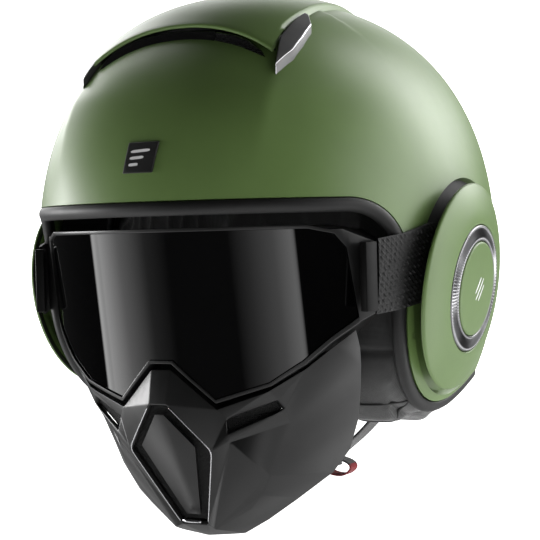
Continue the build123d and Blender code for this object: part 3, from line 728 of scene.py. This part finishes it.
def make_beading():
    """The rubber edge: a rounded bead with a fine groove beside the shell."""
    half = BEADING / 2
    profile = [(-half + 0.2, -2.9), (-half + 0.2, -0.7), (-half + 0.9, 0.25), (-half + 2.2, 0.75),
               (-0.6, 0.95), (1.2, 0.6), (2.6, -0.3), (3.5, -1.7), (3.65, -3.2), (3.2, -4.6), (2.0, -5.4),
               (-half + 0.2, -5.4)]
    path = edge_path(half, 0.0)
    n = len(path)
    # split into a face part and a base part where the CAD nodes meet
    upper_count = next(i for i, p in enumerate(path) if p.z < -58 and p.x > 0)
    mirror_i = n - upper_count
    face_path = path[mirror_i:] + path[:upper_count + 1]
    base_path = path[upper_count:mirror_i + 1]
    for node, part in (("aperture_beading", face_path), ("base_beading", base_path)):
        o = sweep(node + "_bead", part, profile, [RUBBER], closed=False)
        join(node, o)


make_shell()
make_beading()

# ---- Crown vent -------------------------------------------------------------------------------


def scoop_half(y):
    return 55.0 if y < -60 else 55.0 - 8.0 * (y + 60) / 100


def scoop_point(u, y, off=0.0, sink=0.5):
    x = u * scoop_half(y)
    base = form_z(x, y) - sink
    top = form_z(x, y + 6, off) + 3
    k = (1 - smooth(0.955, 1.0, abs(u))) if y > -88 else 1.0
    k *= 1 - smooth(-12, 44, y)
    return Vector((x, y, base + (top - base) * k))


def make_scoop():
    ys = [-105.6 + 3.0 * i for i in range(51)]
    us = [-1 + 2 * i / 120 for i in range(121)]
    us = [math.copysign(abs(u) ** 0.8, u) for u in us]
    rows = [[scoop_point(u, y, -1.9) for u in us] for y in (-86, -93, -100, -104.6)]
    rows.append([scoop_point(u, -105.5, -1.75) for u in us])
    rows.append([scoop_point(u, -106.0, -1.2) for u in us])
    rows.append([scoop_point(u, -106.1, -0.6) for u in us])
    rows.append([scoop_point(u, -105.95, -0.15) for u in us])
    rows += [[scoop_point(u, y) for u in us] for y in ys]
    o = grid("scoop_hood", rows, [PAINT], smooth_angle=50)
    join("crown_scoop", o)


make_scoop()


def upper_edge(x):
    """Top of the vent band: it curls down to the plates at its ends."""
    points = [(0, 132.6), (22, 130.9), (34, 128.2), (42, 124.6), (48, 119.8), (53, 113.6), (57, 106.5),
              (59.5, 101)]
    return along(points, abs(x))


def band_rows(x0, x1, steps, raise_mm=0.0):
    rows = []
    for i in range(steps + 1):
        x = x0 + (x1 - x0) * i / steps
        low = form_z(x, -107.3) - 0.6
        high = max(low + 0.5, upper_edge(x) + raise_mm)
        line = []
        for t, y in ((0, -107.25), (0.04, -107.5), (0.25, -107.3), (0.5, -106.9), (0.75, -106.6),
                     (0.94, -106.6), (1.0, -106.2), (1.0, -104.6), (0.0, -104.4)):
            line.append(Vector((x, y, low + (high - low) * t)))
        rows.append(line)
    return rows


def make_vent():
    split_x = 22.0
    o = grid("vent_band_metal", band_rows(split_x + 0.25, 59.3, 60), [GUNMETAL], closed_cols=True,
             smooth_angle=50, cap=True)
    join("vent_fascia", o)
    o = grid("vent_band_gloss", band_rows(-59.3, split_x - 0.25, 120, 0.5), [GLOSS], closed_cols=True,
             smooth_angle=50, cap=True)
    trim("vent_fascia", o)
    rows = []
    for i in range(81):
        x = -54.0 + 108.0 * i / 80
        low, high = form_z(x, -100.5) - 1, form_z(x, -94.5, -2.0) + 2.6
        section = ((-100.5, low), (-100.5, high), (-100.0, high), (-100.0, low))
        rows.append([Vector((x, y, z)) for y, z in section])
    trim("vent_fascia", grid("vent_throat", rows, [BLACK_AND_SHADE], closed_cols=True, cap=True))


make_vent()
for suffix in ("left", "right"):
    o = copy_cad("vent_plate_" + suffix, "vent_fin_" + suffix, [SILVER, BRIGHT_AND_HIGHLIGHT], 0.6)
    # Painted highlight: the bevelled rims take the bright metal slot, a thin bright outline round each plate
    modifier(o, "BEVEL", width=0.0005, segments=3, limit_method="ANGLE", angle_limit=math.radians(30),
             material=1)
    shade(o, 35)
    join("vent_plate_" + suffix, o)
bevelled("vent_shutter", [GLOSS], 0.2)
bevelled("front_badge", [BADGE], 0.5, 3)


def make_badge_mark():
    """A plain mark on the badge: three level bars of falling length."""
    bm = bmesh.new()
    for left, right, z in ((-4.6, 6.6, 67.4), (-4.8, 3.4, 64.0), (-5.0, 0.4, 60.6)):
        low, high = [], []
        for k in range(24):
            t = 2 * math.pi * k / 24
            x = (left + right) / 2 + (right - left) / 2 * math.copysign(abs(math.cos(t)) ** 0.4, math.cos(t))
            zz = z + 0.75 * math.copysign(abs(math.sin(t)) ** 0.8, math.sin(t)) + 0.06 * x
            reach = form_rho(zz, 1.4) ** PLAN - (abs(x) / (HALF_WIDTH + 1.4)) ** PLAN
            y = -(HALF_LENGTH + 1.4) * reach ** (1 / PLAN)
            low.append(bm.verts.new(row((x, y + 0.3, zz))))
            high.append(bm.verts.new(row((x, y - 0.22, zz))))
        bm.faces.new(high)
        bm.faces.new(list(reversed(low)))
        for k in range(24):
            m = (k + 1) % 24
            bm.faces.new((low[k], low[m], high[m], high[k]))
    trim("front_badge", from_bm("badge_mark", bm, [MARK], 40))


make_badge_mark()

# ---- Side covers and dials ------------------------------------------------------------------


def disc_point(side, r, angle, h):
    """A point by radius, angle (0 is up, + towards the front) and height on a side cover's axis."""
    axis = Vector((math.cos(LEAN), 0, -math.sin(LEAN)))
    up = Vector((math.sin(LEAN), 0, math.cos(LEAN)))
    front = Vector((0, -1, 0))
    p = DISC + up * (r * math.cos(angle)) + front * (r * math.sin(angle)) + axis * h
    return mirrored(p, side)


def shell_height(r, angle):
    """Height on the disc's axis where the shell's face lies."""
    lo, hi = -45.0, 6.0
    for _ in range(24):
        mid = (lo + hi) / 2
        if outside(disc_point(1, r, angle, mid)) > 0:
            hi = mid
        else:
            lo = mid
    return lo


def dome(r):
    if r < 47:
        return -2.4 * ((r - 35.6) / 11.4) ** 1.6
    t = (r - 47) / 10.5
    return -2.4 - 3.0 * t - 1.2 * t * t


def make_cover(side, suffix):
    n = 180
    rows = []
    for i in range(n):
        a = 2 * math.pi * i / n
        back = smooth(0.25, 0.8, -math.sin(a))
        line = [(34.6, -5.4), (35.4, -3.0), (35.5, -1.2), (35.7, -0.35), (36.1, -0.02), (36.8, 0.0)]
        line += [(r, dome(r)) for r in (38, 40, 42, 44, 46, 48, 50, 52, 53.5, 55, 56, 56.8)]
        rim = shell_height(59.5, a) - 0.6
        tail = [(57.3, dome(57.1) - 0.35), (57.55, -7.3), (57.4, -8.0), (56.6, -8.5), (54.0, -8.3),
                (48.0, -6.4)]
        drop = dome(57.5)
        blend = [(57.3, drop + 0.1), (57.8, drop + (rim - drop) * 0.08), (58.3, drop + (rim - drop) * 0.25),
                 (58.8, drop + (rim - drop) * 0.5), (59.2, drop + (rim - drop) * 0.8), (59.5, rim)]
        line += [(r0 + (r1 - r0) * back, h0 + (h1 - h0) * back) for (r0, h0), (r1, h1) in zip(tail, blend)]
        rows.append([disc_point(side, r, a, h) for r, h in line])
    o = grid("cover_skin_" + suffix, rows, [PAINT, BLACK_AND_SHADE], closed_rows=True, smooth_angle=45)
    axis = Vector((math.cos(LEAN), 0, -math.sin(LEAN)))
    for f in o.data.polygons:
        p = FROM_ROW @ f.center
        if (mirrored(p, side) - DISC).dot(axis) < -7.9 and p.y < DISC.y + 15:
            f.material_index = 1
    join("side_cover_" + suffix, o)
    section = ((5.9, -3.7), (36, -3.7), (36, -5.5), (5.9, -5.5))
    floor = [[disc_point(side, r, 2 * math.pi * i / 60, h) for r, h in section] for i in range(60)]
    trim("side_cover_" + suffix, grid("cover_floor_" + suffix, floor, [BLACK_AND_SHADE], True, True, 40))


def make_ring(side, suffix):
    ridges, per = 112, 8
    n = ridges * per
    rows = []
    for i in range(n):
        a = 2 * math.pi * i / n
        tooth = abs(2 * (a * ridges / (2 * math.pi) % 1) - 1)
        line = [(26.5, -3.0), (26.6, 1.0), (27.0, 1.35)]
        for k in range(9):
            r = 27.4 + (34.4 - 27.4) * k / 8
            edge = smooth(0, 1, min(k, 8 - k) / 1.0)
            line.append((r, 1.32 - 1.05 * k / 8 - 0.95 * (1 - tooth) * edge))
        line += [(34.8, 0.1), (35.15, -0.3), (35.2, -3.0)]
        rows.append([disc_point(side, r, a, h) for r, h in line])
    o = grid("dial_knurl_" + suffix, rows, [KNURL], closed_rows=True, smooth_angle=50)
    join("knurled_ring_" + suffix, o)


def make_cap(side, suffix):
    n = 120
    profile = [(26.1, -3.0), (26.1, 0.9), (25.9, 1.4), (25.4, 1.72), (24.6, 1.86), (22, 2.14), (18, 2.45),
               (14, 2.68), (10, 2.84), (6, 2.94), (2, 2.99)]
    rows = [[disc_point(side, r, 2 * math.pi * i / n, h) for r, h in profile] for i in range(n)]
    bm = bmesh.new()
    vs = [[bm.verts.new(row(p)) for p in r] for r in rows]
    for i in range(n):
        k = (i + 1) % n
        for j in range(len(profile) - 1):
            bm.faces.new((vs[i][j], vs[i][j + 1], vs[k][j + 1], vs[k][j]))
    bm.faces.new([v[-1] for v in vs])
    o = from_bm("dial_cap_" + suffix, bm, [PAINT], 50)
    join("centre_cap_" + suffix, o)
    bars = []
    for i, half in enumerate((11.0, 15.0, 11.0)):
        shift = (i - 1) * 3.4
        bars.append((shift, half))
    bm = bmesh.new()
    tilt = math.radians(52)
    for shift, half in bars:
        low, high = [], []
        for k in range(28):
            t = 2 * math.pi * k / 28
            u = half * 0.5 * math.copysign(abs(math.cos(t)) ** 0.35, math.cos(t))
            w = 0.62 * math.copysign(abs(math.sin(t)) ** 0.7, math.sin(t)) + shift
            x, y = u * math.cos(tilt) - w * math.sin(tilt), u * math.sin(tilt) + w * math.cos(tilt)
            r, a = math.hypot(x, y), math.atan2(-x, y)
            h = 2.99 - 1.15 * (r / 25) ** 2
            low.append(bm.verts.new(row(disc_point(side, r, a, h - 0.05))))
            high.append(bm.verts.new(row(disc_point(side, r, a, h + 0.12))))
        bm.faces.new(high)
        for k in range(28):
            m = (k + 1) % 28
            bm.faces.new((low[k], low[m], high[m], high[k]))
        bm.faces.new(list(reversed(low)))
    trim("centre_cap_" + suffix, from_bm("dial_mark_" + suffix, bm, [MARK], 40))


for side, suffix in ((1, "left"), (-1, "right")):
    make_cover(side, suffix)
    make_ring(side, suffix)
    make_cap(side, suffix)

# ---- Goggles -----------------------------------------------------------------------------------
bevelled("goggle_frame", [FRAME], 0.7, 3, 25, 0.4)
for suffix in ("left", "right"):
    bevelled("goggle_outrigger_" + suffix, [ARM], 0.6, 3)


def strap_edges(y):
    """Lowest and highest z of the strap at a side view station."""
    return (along([(-90.5, -19.5), (-77, -18), (-60, -15), (-30, -14)], y),
            along([(-90.5, 19.5), (-74, 22), (-53, 27), (-30, 28)], y))


def knit_nub(y, z):
    """Height of the small slanting lozenges knitted into the strap's face."""
    u, v = (y + z) / 3.4, (y - z) / 4.8
    v += 0.5 * (math.floor(u) % 2)
    du, dv = u - math.floor(u) - 0.5, v - math.floor(v) - 0.5
    lift = 1 - (du / 0.24) ** 2 - (dv / 0.40) ** 2
    vary = 0.7 + 0.3 * math.sin(math.floor(u) * 12.9 + math.floor(v) * 78.2)
    return 0.55 * vary * math.sqrt(lift) if lift > 0 else 0.0


def make_strap(side, suffix):
    rows_out, rows_in = [], []
    ny, nz = 200, 150
    for i in range(ny + 1):
        y = -91.0 + 61.0 * i / ny
        low, high = strap_edges(max(-90.5, y))
        out, inn = [], []
        for j in range(nz + 1):
            t = j / nz
            z = low + (high - low) * t
            rim = min(t, 1 - t) * (high - low)
            thick = 0.9 + 0.1 * smooth(0, 1.0, rim)
            nub = knit_nub(y, z)
            rib = 0.08 * math.sin(z * math.pi / 0.8) * math.sin(y * math.pi / 0.9)
            x = form_x(y, z, 0.7)
            n = form_normal(Vector((x, y, z)))
            p = Vector((x, y, z))
            out.append(p + n * (1.2 * thick + (nub + rib) * smooth(0, 1.2, rim)))
            inn.append(p - n * 0.25)
        rows_out.append([mirrored(q, side) for q in out])
        rows_in.append([mirrored(q, side) for q in inn])
    rows = [a + b[::-1] for a, b in zip(rows_out, rows_in)]
    o = grid("goggle_band_" + suffix, rows, [KNIT, FLECK], closed_cols=True, smooth_angle=60, cap=True)
    for f in o.data.polygons:
        p = FROM_ROW @ f.center
        if knit_nub(p.y + 0.35, p.z + 0.15) > 0.36:
            f.material_index = 1
    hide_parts("goggle_strap_" + suffix)
    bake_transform(o)


for side, suffix in ((1, "left"), (-1, "right")):
    make_strap(side, suffix)

# ---- Mask --------------------------------------------------------------------------------------
bevelled("mask_shell", [MASK], 1.1, 3, 7, 0.3)
bevelled("mask_front_panel", [MASK], 0.5, 3, 7, 0.3)
HEART = Vector((0, -68, -84))
WINDOW = [Vector(p) for p in ((5.2, -140, -64), (25, -128, -89), (8, -103.7, -133))]
CLIP = [Vector(p) for p in ((-5.4, -106.9, -130.4), (0, -107.2, -130.8), (5.4, -106.9, -130.4))]


def towards_heart(p, scale):
    return HEART + (p - HEART) * scale


def make_mask_trim():
    """Thin bright lines along the window's edges, painted highlights, and a clip at the front panel's foot.
    """
    for side, suffix in ((1, "left"), (-1, "right")):
        edge = [towards_heart(mirrored(p, side), 0.999) for p in WINDOW]
        line = [edge[0].lerp(edge[1], k / 16) for k in range(1, 16)]
        line += [edge[1].lerp(edge[2], k / 24) for k in range(24)]
        # Painted highlights: bright metal tubes laid along the window edges
        tube("window_highlight_line_" + suffix, line, 0.32, [BRIGHT_AND_HIGHLIGHT], False, "mask_shell")
    clip = [CLIP[0].lerp(CLIP[1], k / 6) for k in range(6)] + [CLIP[1].lerp(CLIP[2], k / 6) for k in range(7)]
    tube("panel_clip", clip, 0.9, [BRIGHT_AND_HIGHLIGHT], False, "mask_front_panel")


for node, mat in (("mask_slot_mesh_left", FILTER), ("mask_slot_mesh_right", FILTER),
                  ("mask_peg_left", MASK), ("mask_peg_right", MASK), ("strap_anchor_left", FRAME),
                  ("strap_anchor_right", FRAME), ("eps_liner", BEADS), ("chin_rivet_left", STEEL),
                  ("chin_rivet_right", STEEL), ("buckle_pin", STEEL), ("goggle_lens", SMOKE)):
    data = frame["nodes"][node].data
    data.materials.clear()
    data.materials.append(mat)


def make_baffle():
    """The filter tray with its surround, close behind the windows of the mask."""
    p = {"nt": (6, -135, -46), "tv": (28.5, -127.5, -67), "nb": (5.2, -140, -64), "wc": (25, -128, -89),
         "wf": (8, -103.7, -133), "it": (32.5, -124.5, -72.5), "il": (33.6, -126, -80),
         "ot": (57, -112.5, -63), "ol": (59, -109, -68), "pt": (34.5, -125, -84), "pf": (12, -104, -135),
         "tc": (55, -119.5, -57.8), "ts": (71, -108, -47), "ra": (58, -102, -76), "cr": (20.6, -84.4, -140),
         "cc": (0.5, -88, -142)}
    faces = [("nt", "tv", "nb"), ("nb", "tv", "wc"), ("tv", "it", "wc"), ("it", "il", "wc"),
             ("wc", "il", "pt"), ("wc", "pt", "wf"), ("pt", "pf", "wf"), ("tv", "tc", "it"),
             ("tc", "ot", "it"), ("it", "ol", "il"), ("it", "ot", "ol"), ("il", "ol", "pt"),
             ("tc", "ts", "ot"), ("ot", "ts", "ol"), ("ol", "ra", "pt"), ("nb", "wc", "wf"),
             ("pf", "cr", "wf"), ("wf", "cr", "cc")]
    bm = bmesh.new()
    verts = {}
    for key, q in p.items():
        for side in (1, -1):
            verts[key, side] = bm.verts.new(row(towards_heart(mirrored(q, side), 0.928)))
    for f in faces:
        bm.faces.new([verts[k, 1] for k in f])
        bm.faces.new([verts[k, -1] for k in reversed(f)])
    bm.faces.new((verts["nt", 1], verts["nb", 1], verts["nb", -1], verts["nt", -1]))
    bm.faces.new((verts["nb", 1], verts["wf", 1], verts["wf", -1], verts["nb", -1]))
    bm.faces.new((verts["wf", 1], verts["cc", 1], verts["cc", -1], verts["wf", -1]))
    o = from_bm("filter_tray", bm, [FILTER])
    modifier(o, "SUBSURF", subdivision_type="SIMPLE", levels=3)
    modifier(o, "SOLIDIFY", thickness=0.0012, offset=-1)
    shade(o, 20)
    join("mask_filter", o)


make_baffle()


def make_gasket():
    """The soft lip along the mask's top edge, which closes the gap behind the goggle frame."""
    half = [(0, -136, -44.5), (6, -135, -46), (17, -131.5, -56), (28.5, -127.5, -67), (42, -124, -62.5),
            (55, -119.5, -57.8), (63, -114, -52.5), (71, -108, -47), (83, -99, -36)]
    line = [Vector((-x, y, z)) for x, y, z in reversed(half[1:])] + [Vector(q) for q in half]
    rows = []
    for q in resample(line, 3.0):
        foot = towards_heart(q, 0.945) + Vector((0, 0, -3.0))
        lip = towards_heart(q, 0.94) + Vector((0, 9.0, 7.0))
        mid = foot.lerp(lip, 0.5) + Vector((0, -1.2, 0.6))
        back = Vector((0, 1.1, -0.4))
        rows.append([foot, mid, lip, lip + back, mid + back, foot + back])
    o = grid("mask_gasket", rows, [RUBBER], closed_cols=True, smooth_angle=60, cap=True)
    trim("mask_shell", o)


make_gasket()

# ---- Padding ------------------------------------------------------------------------------------
PADS = {}


def start_pad(node, name, material, voxel_mm=5.0, shrink_mm=1.2, cap_mm=4.0):
    bm = bmesh.new()
    bm.from_mesh(frame["nodes"][node].data)
    bmesh.ops.remove_doubles(bm, verts=bm.verts, dist=2e-6)
    o = from_bm(name, bm, [material])
    modifier(o, "REMESH", mode="VOXEL", voxel_size=voxel_mm / 1000, use_smooth_shade=True)
    mesh = o.data
    mesh.materials.clear()
    mesh.materials.append(material)
    normals = [v.normal.copy() for v in mesh.vertices]
    for v, n in zip(mesh.vertices, normals):
        v.co -= n * shrink_mm / 1000
    PADS[node] = (o, [v.co.copy() for v in mesh.vertices], cap_mm / 1000)


def inflate():
    """One cloth run with pressure for all pads, with each point's travel capped."""
    for o, _, _ in PADS.values():
        m = o.modifiers.new("swell", "CLOTH")
        m.settings.use_pressure = True
        m.settings.uniform_pressure_force = 4.0
        m.settings.tension_stiffness = m.settings.compression_stiffness = 25
        m.settings.bending_stiffness = 2.0
        m.settings.effector_weights.gravity = 0.0
    scene = bpy.context.scene
    for f in range(1, 21):
        scene.frame_set(f)
    graph = bpy.context.evaluated_depsgraph_get()
    result = {}
    for node, (o, _, _) in PADS.items():
        result[node] = [v.co.copy() for v in o.evaluated_get(graph).data.vertices]
    for node, (o, start, cap) in PADS.items():
        o.modifiers.clear()
        for v, a, b in zip(o.data.vertices, start, result[node]):
            d = b - a
            if d.length > cap:
                d *= cap / d.length
            v.co = a + d
    scene.frame_set(1)


def slice_loop(o, co, no):
    """The longest closed line where a plane cuts a mesh, in design-frame points."""
    bm = bmesh.new()
    bm.from_mesh(o.data)
    co_row = row(co)
    no_row = (TURN.to_3x3() @ Vector(no)).normalized()
    cut_geom = bmesh.ops.bisect_plane(bm, geom=bm.verts[:] + bm.edges[:] + bm.faces[:], plane_co=co_row,
                                      plane_no=no_row)["geom_cut"]
    edges = {e for e in cut_geom if isinstance(e, bmesh.types.BMEdge)}
    best = []
    while edges:
        e = edges.pop()
        chain = [e.verts[0], e.verts[1]]
        grown = True
        while grown:
            grown = False
            for f in list(chain[-1].link_edges):
                if f in edges:
                    edges.discard(f)
                    chain.append(f.other_vert(chain[-1]))
                    grown = True
                    break
        if len(chain) > len(best):
            best = chain
    points = [FROM_ROW @ v.co for v in best]
    bm.free()
    return points


def tube(name, points, radius, materials, closed, node, sides=8):
    """A round piping along design-frame points, riding with a node's body."""
    path = resample(points, 2.0, closed)
    for _ in range(3):
        n = len(path)
        path = [(path[i - 1] + path[i] * 2 + path[(i + 1) % n]) / 4 if closed or 0 < i < n - 1 else path[i]
                for i in range(n)]
    profile = [(radius * math.cos(2 * math.pi * k / sides), radius * math.sin(2 * math.pi * k / sides))
               for k in range(sides)]
    centre = sum(path, Vector()) / len(path)
    o = sweep(name, path, profile, materials, closed, normal=lambda p: (p - centre).normalized(),
              smooth_angle=None)
    trim(node, o)
    return o


for suffix in ("left", "right"):
    start_pad("cheek_pad_" + suffix, "cheek_cushion_" + suffix, CHEEK, 4.0, 1.0, 3.5)
start_pad("neck_roll", "neck_cushion", LINING, 4.0, 1.0, 3.0)
start_pad("comfort_liner", "comfort_cushion", LINING, 4.5, 1.0, 2.5)
start_pad("goggle_foam", "face_foam_pad", FOAM, 3.0, 0.6, 1.0)
inflate()


def dent(o, depth_at):
    """Sinks points along their normals by a depth in mm that depends on the design-frame place."""
    mesh = o.data
    normals = [v.normal.copy() for v in mesh.vertices]
    for v, n in zip(mesh.vertices, normals):
        v.co -= n * depth_at(FROM_ROW @ v.co) / 1000


def cheek_folds(p):
    x = abs(p.x)
    fold = 3.2 * math.exp(-((x - 93) / 2.2) ** 2) * smooth(-62, -76, p.z)
    wrinkle = 0.5 * math.sin(p.y / 5.0 + p.z / 9.0) * smooth(-40, -70, p.z)
    channel = 1.6 * math.exp(-((p.z + 34 - 0.12 * p.y) / 1.6) ** 2)
    return fold + wrinkle + channel


def quilt(p):
    """Diamond quilting on the crown lining."""
    a, b = (p.x + p.y) / 34, (p.x - p.y) / 34
    line = min(abs(a - round(a)), abs(b - round(b))) * 34
    return 1.6 * math.exp(-(line / 2.0) ** 2)


def ribs(p):
    """Upright channels around the neck roll."""
    return 1.8 * math.exp(-((math.atan2(p.x, p.y) * 90 / 22 % 1 - 0.5) / 0.09) ** 2)


for node, field in (("cheek_pad_left", cheek_folds), ("cheek_pad_right", cheek_folds),
                    ("comfort_liner", quilt), ("neck_roll", ribs), ("goggle_foam", None)):
    pad = PADS[node][0]
    modifier(pad, "SUBSURF", levels=1)
    if field:
        dent(pad, field)
    shade(pad)
    join(node, pad)
for side, suffix in ((1, "left"), (-1, "right")):
    pad = PADS["cheek_pad_" + suffix][0]
    for tag, co, no, mat in (("front", (side * 90, -46, -40), (0, 1, 0.35), LEATHER),
                             ("lower", (side * 90, 0, -66), (0, -0.12, 1), LEATHER)):
        loop = slice_loop(pad, co, no)
        if len(loop) > 12:
            tube("cheek_piping_%s_%s" % (tag, suffix), loop, 0.9, [mat], True, "cheek_pad_" + suffix)
# ---- Chin strap --------------------------------------------------------------------------------
WEB_Y, WEB_HALF, WEB_THICK = -6.0, 9.5, 1.8
LEFT_WEB = [(114.5, -14), (113.5, -32), (77, -72), (59, -92), (43, -105), (34, -111.4)]
RIGHT_WEB = [(-x, z) for x, z in LEFT_WEB[:4] + [(40, -106), (20, -110.4)]]
TAB_LOOP = [(37, -103.4), (48, -105), (57.5, -107.5), (59, -111.5), (53, -115.6), (43, -114), (37, -106.6)]


def rounded(points, times):
    """Corner cutting of an open front view path; its ends stay."""
    for _ in range(times):
        out = [points[0]]
        for a, b in zip(points, points[1:]):
            out += [(a[0] * 0.75 + b[0] * 0.25, a[1] * 0.75 + b[1] * 0.25),
                    (a[0] * 0.25 + b[0] * 0.75, a[1] * 0.25 + b[1] * 0.75)]
        points = out + [points[-1]]
    return points


def ribbon(name, node, points, y_mid, half, thick, materials, split=1.0):
    """Woven band along a front view path, with a corded rim and ribs across it."""
    path = resample([Vector((x, 0, z)) for x, z in rounded(points, 3)], 0.7)
    rows = []
    across = 22
    for i, p in enumerate(path):
        t = (path[min(i + 1, len(path) - 1)] - path[max(i - 1, 0)]).normalized()
        n = Vector((-t.z, 0, t.x))
        top, low = [], []
        for k in range(across + 1):
            u = 2 * k / across - 1
            rim = 0.82 + 0.18 * math.exp(-((abs(u) - 0.86) / 0.07) ** 2)
            rib = 0.06 * math.sin(i * math.pi / 1.5) + 0.05 * math.cos(k * math.pi)
            h = thick / 2 * (rim + rib) * (1 if abs(u) < 0.99 else 0.6)
            top.append(p + n * h + Vector((0, y_mid + u * half, 0)))
            low.append(p - n * h + Vector((0, y_mid + u * half, 0)))
        rows.append(top + low[::-1])
    o = grid(name, rows, materials, closed_cols=True, smooth_angle=50, cap=True)
    for f in o.data.polygons:
        if len(materials) > 1:
            f.material_index = 0 if (FROM_ROW @ f.center).z > split else 1
    return o


left_band = ribbon("chin_band_left", "chin_strap_left", LEFT_WEB, WEB_Y, WEB_HALF, WEB_THICK, [WEBBING])
join("chin_strap_left", left_band)
right_band = ribbon("chin_band_right", "chin_strap_right", RIGHT_WEB, WEB_Y, WEB_HALF, WEB_THICK, [WEBBING])
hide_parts("chin_strap_right")
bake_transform(right_band)
tab = ribbon("red_pull_ribbon", "pull_tab", TAB_LOOP, WEB_Y - 17.5, 5.0, 1.2, [WEBBING, RED], -108.6)
join("pull_tab", tab)
make_mask_trim()
bevelled("buckle_body", [BUCKLE], 0.3)
bevelled("buckle_lever", [BUCKLE], 0.3)
bevelled("ratchet_tongue", [TONGUE], 0.2)
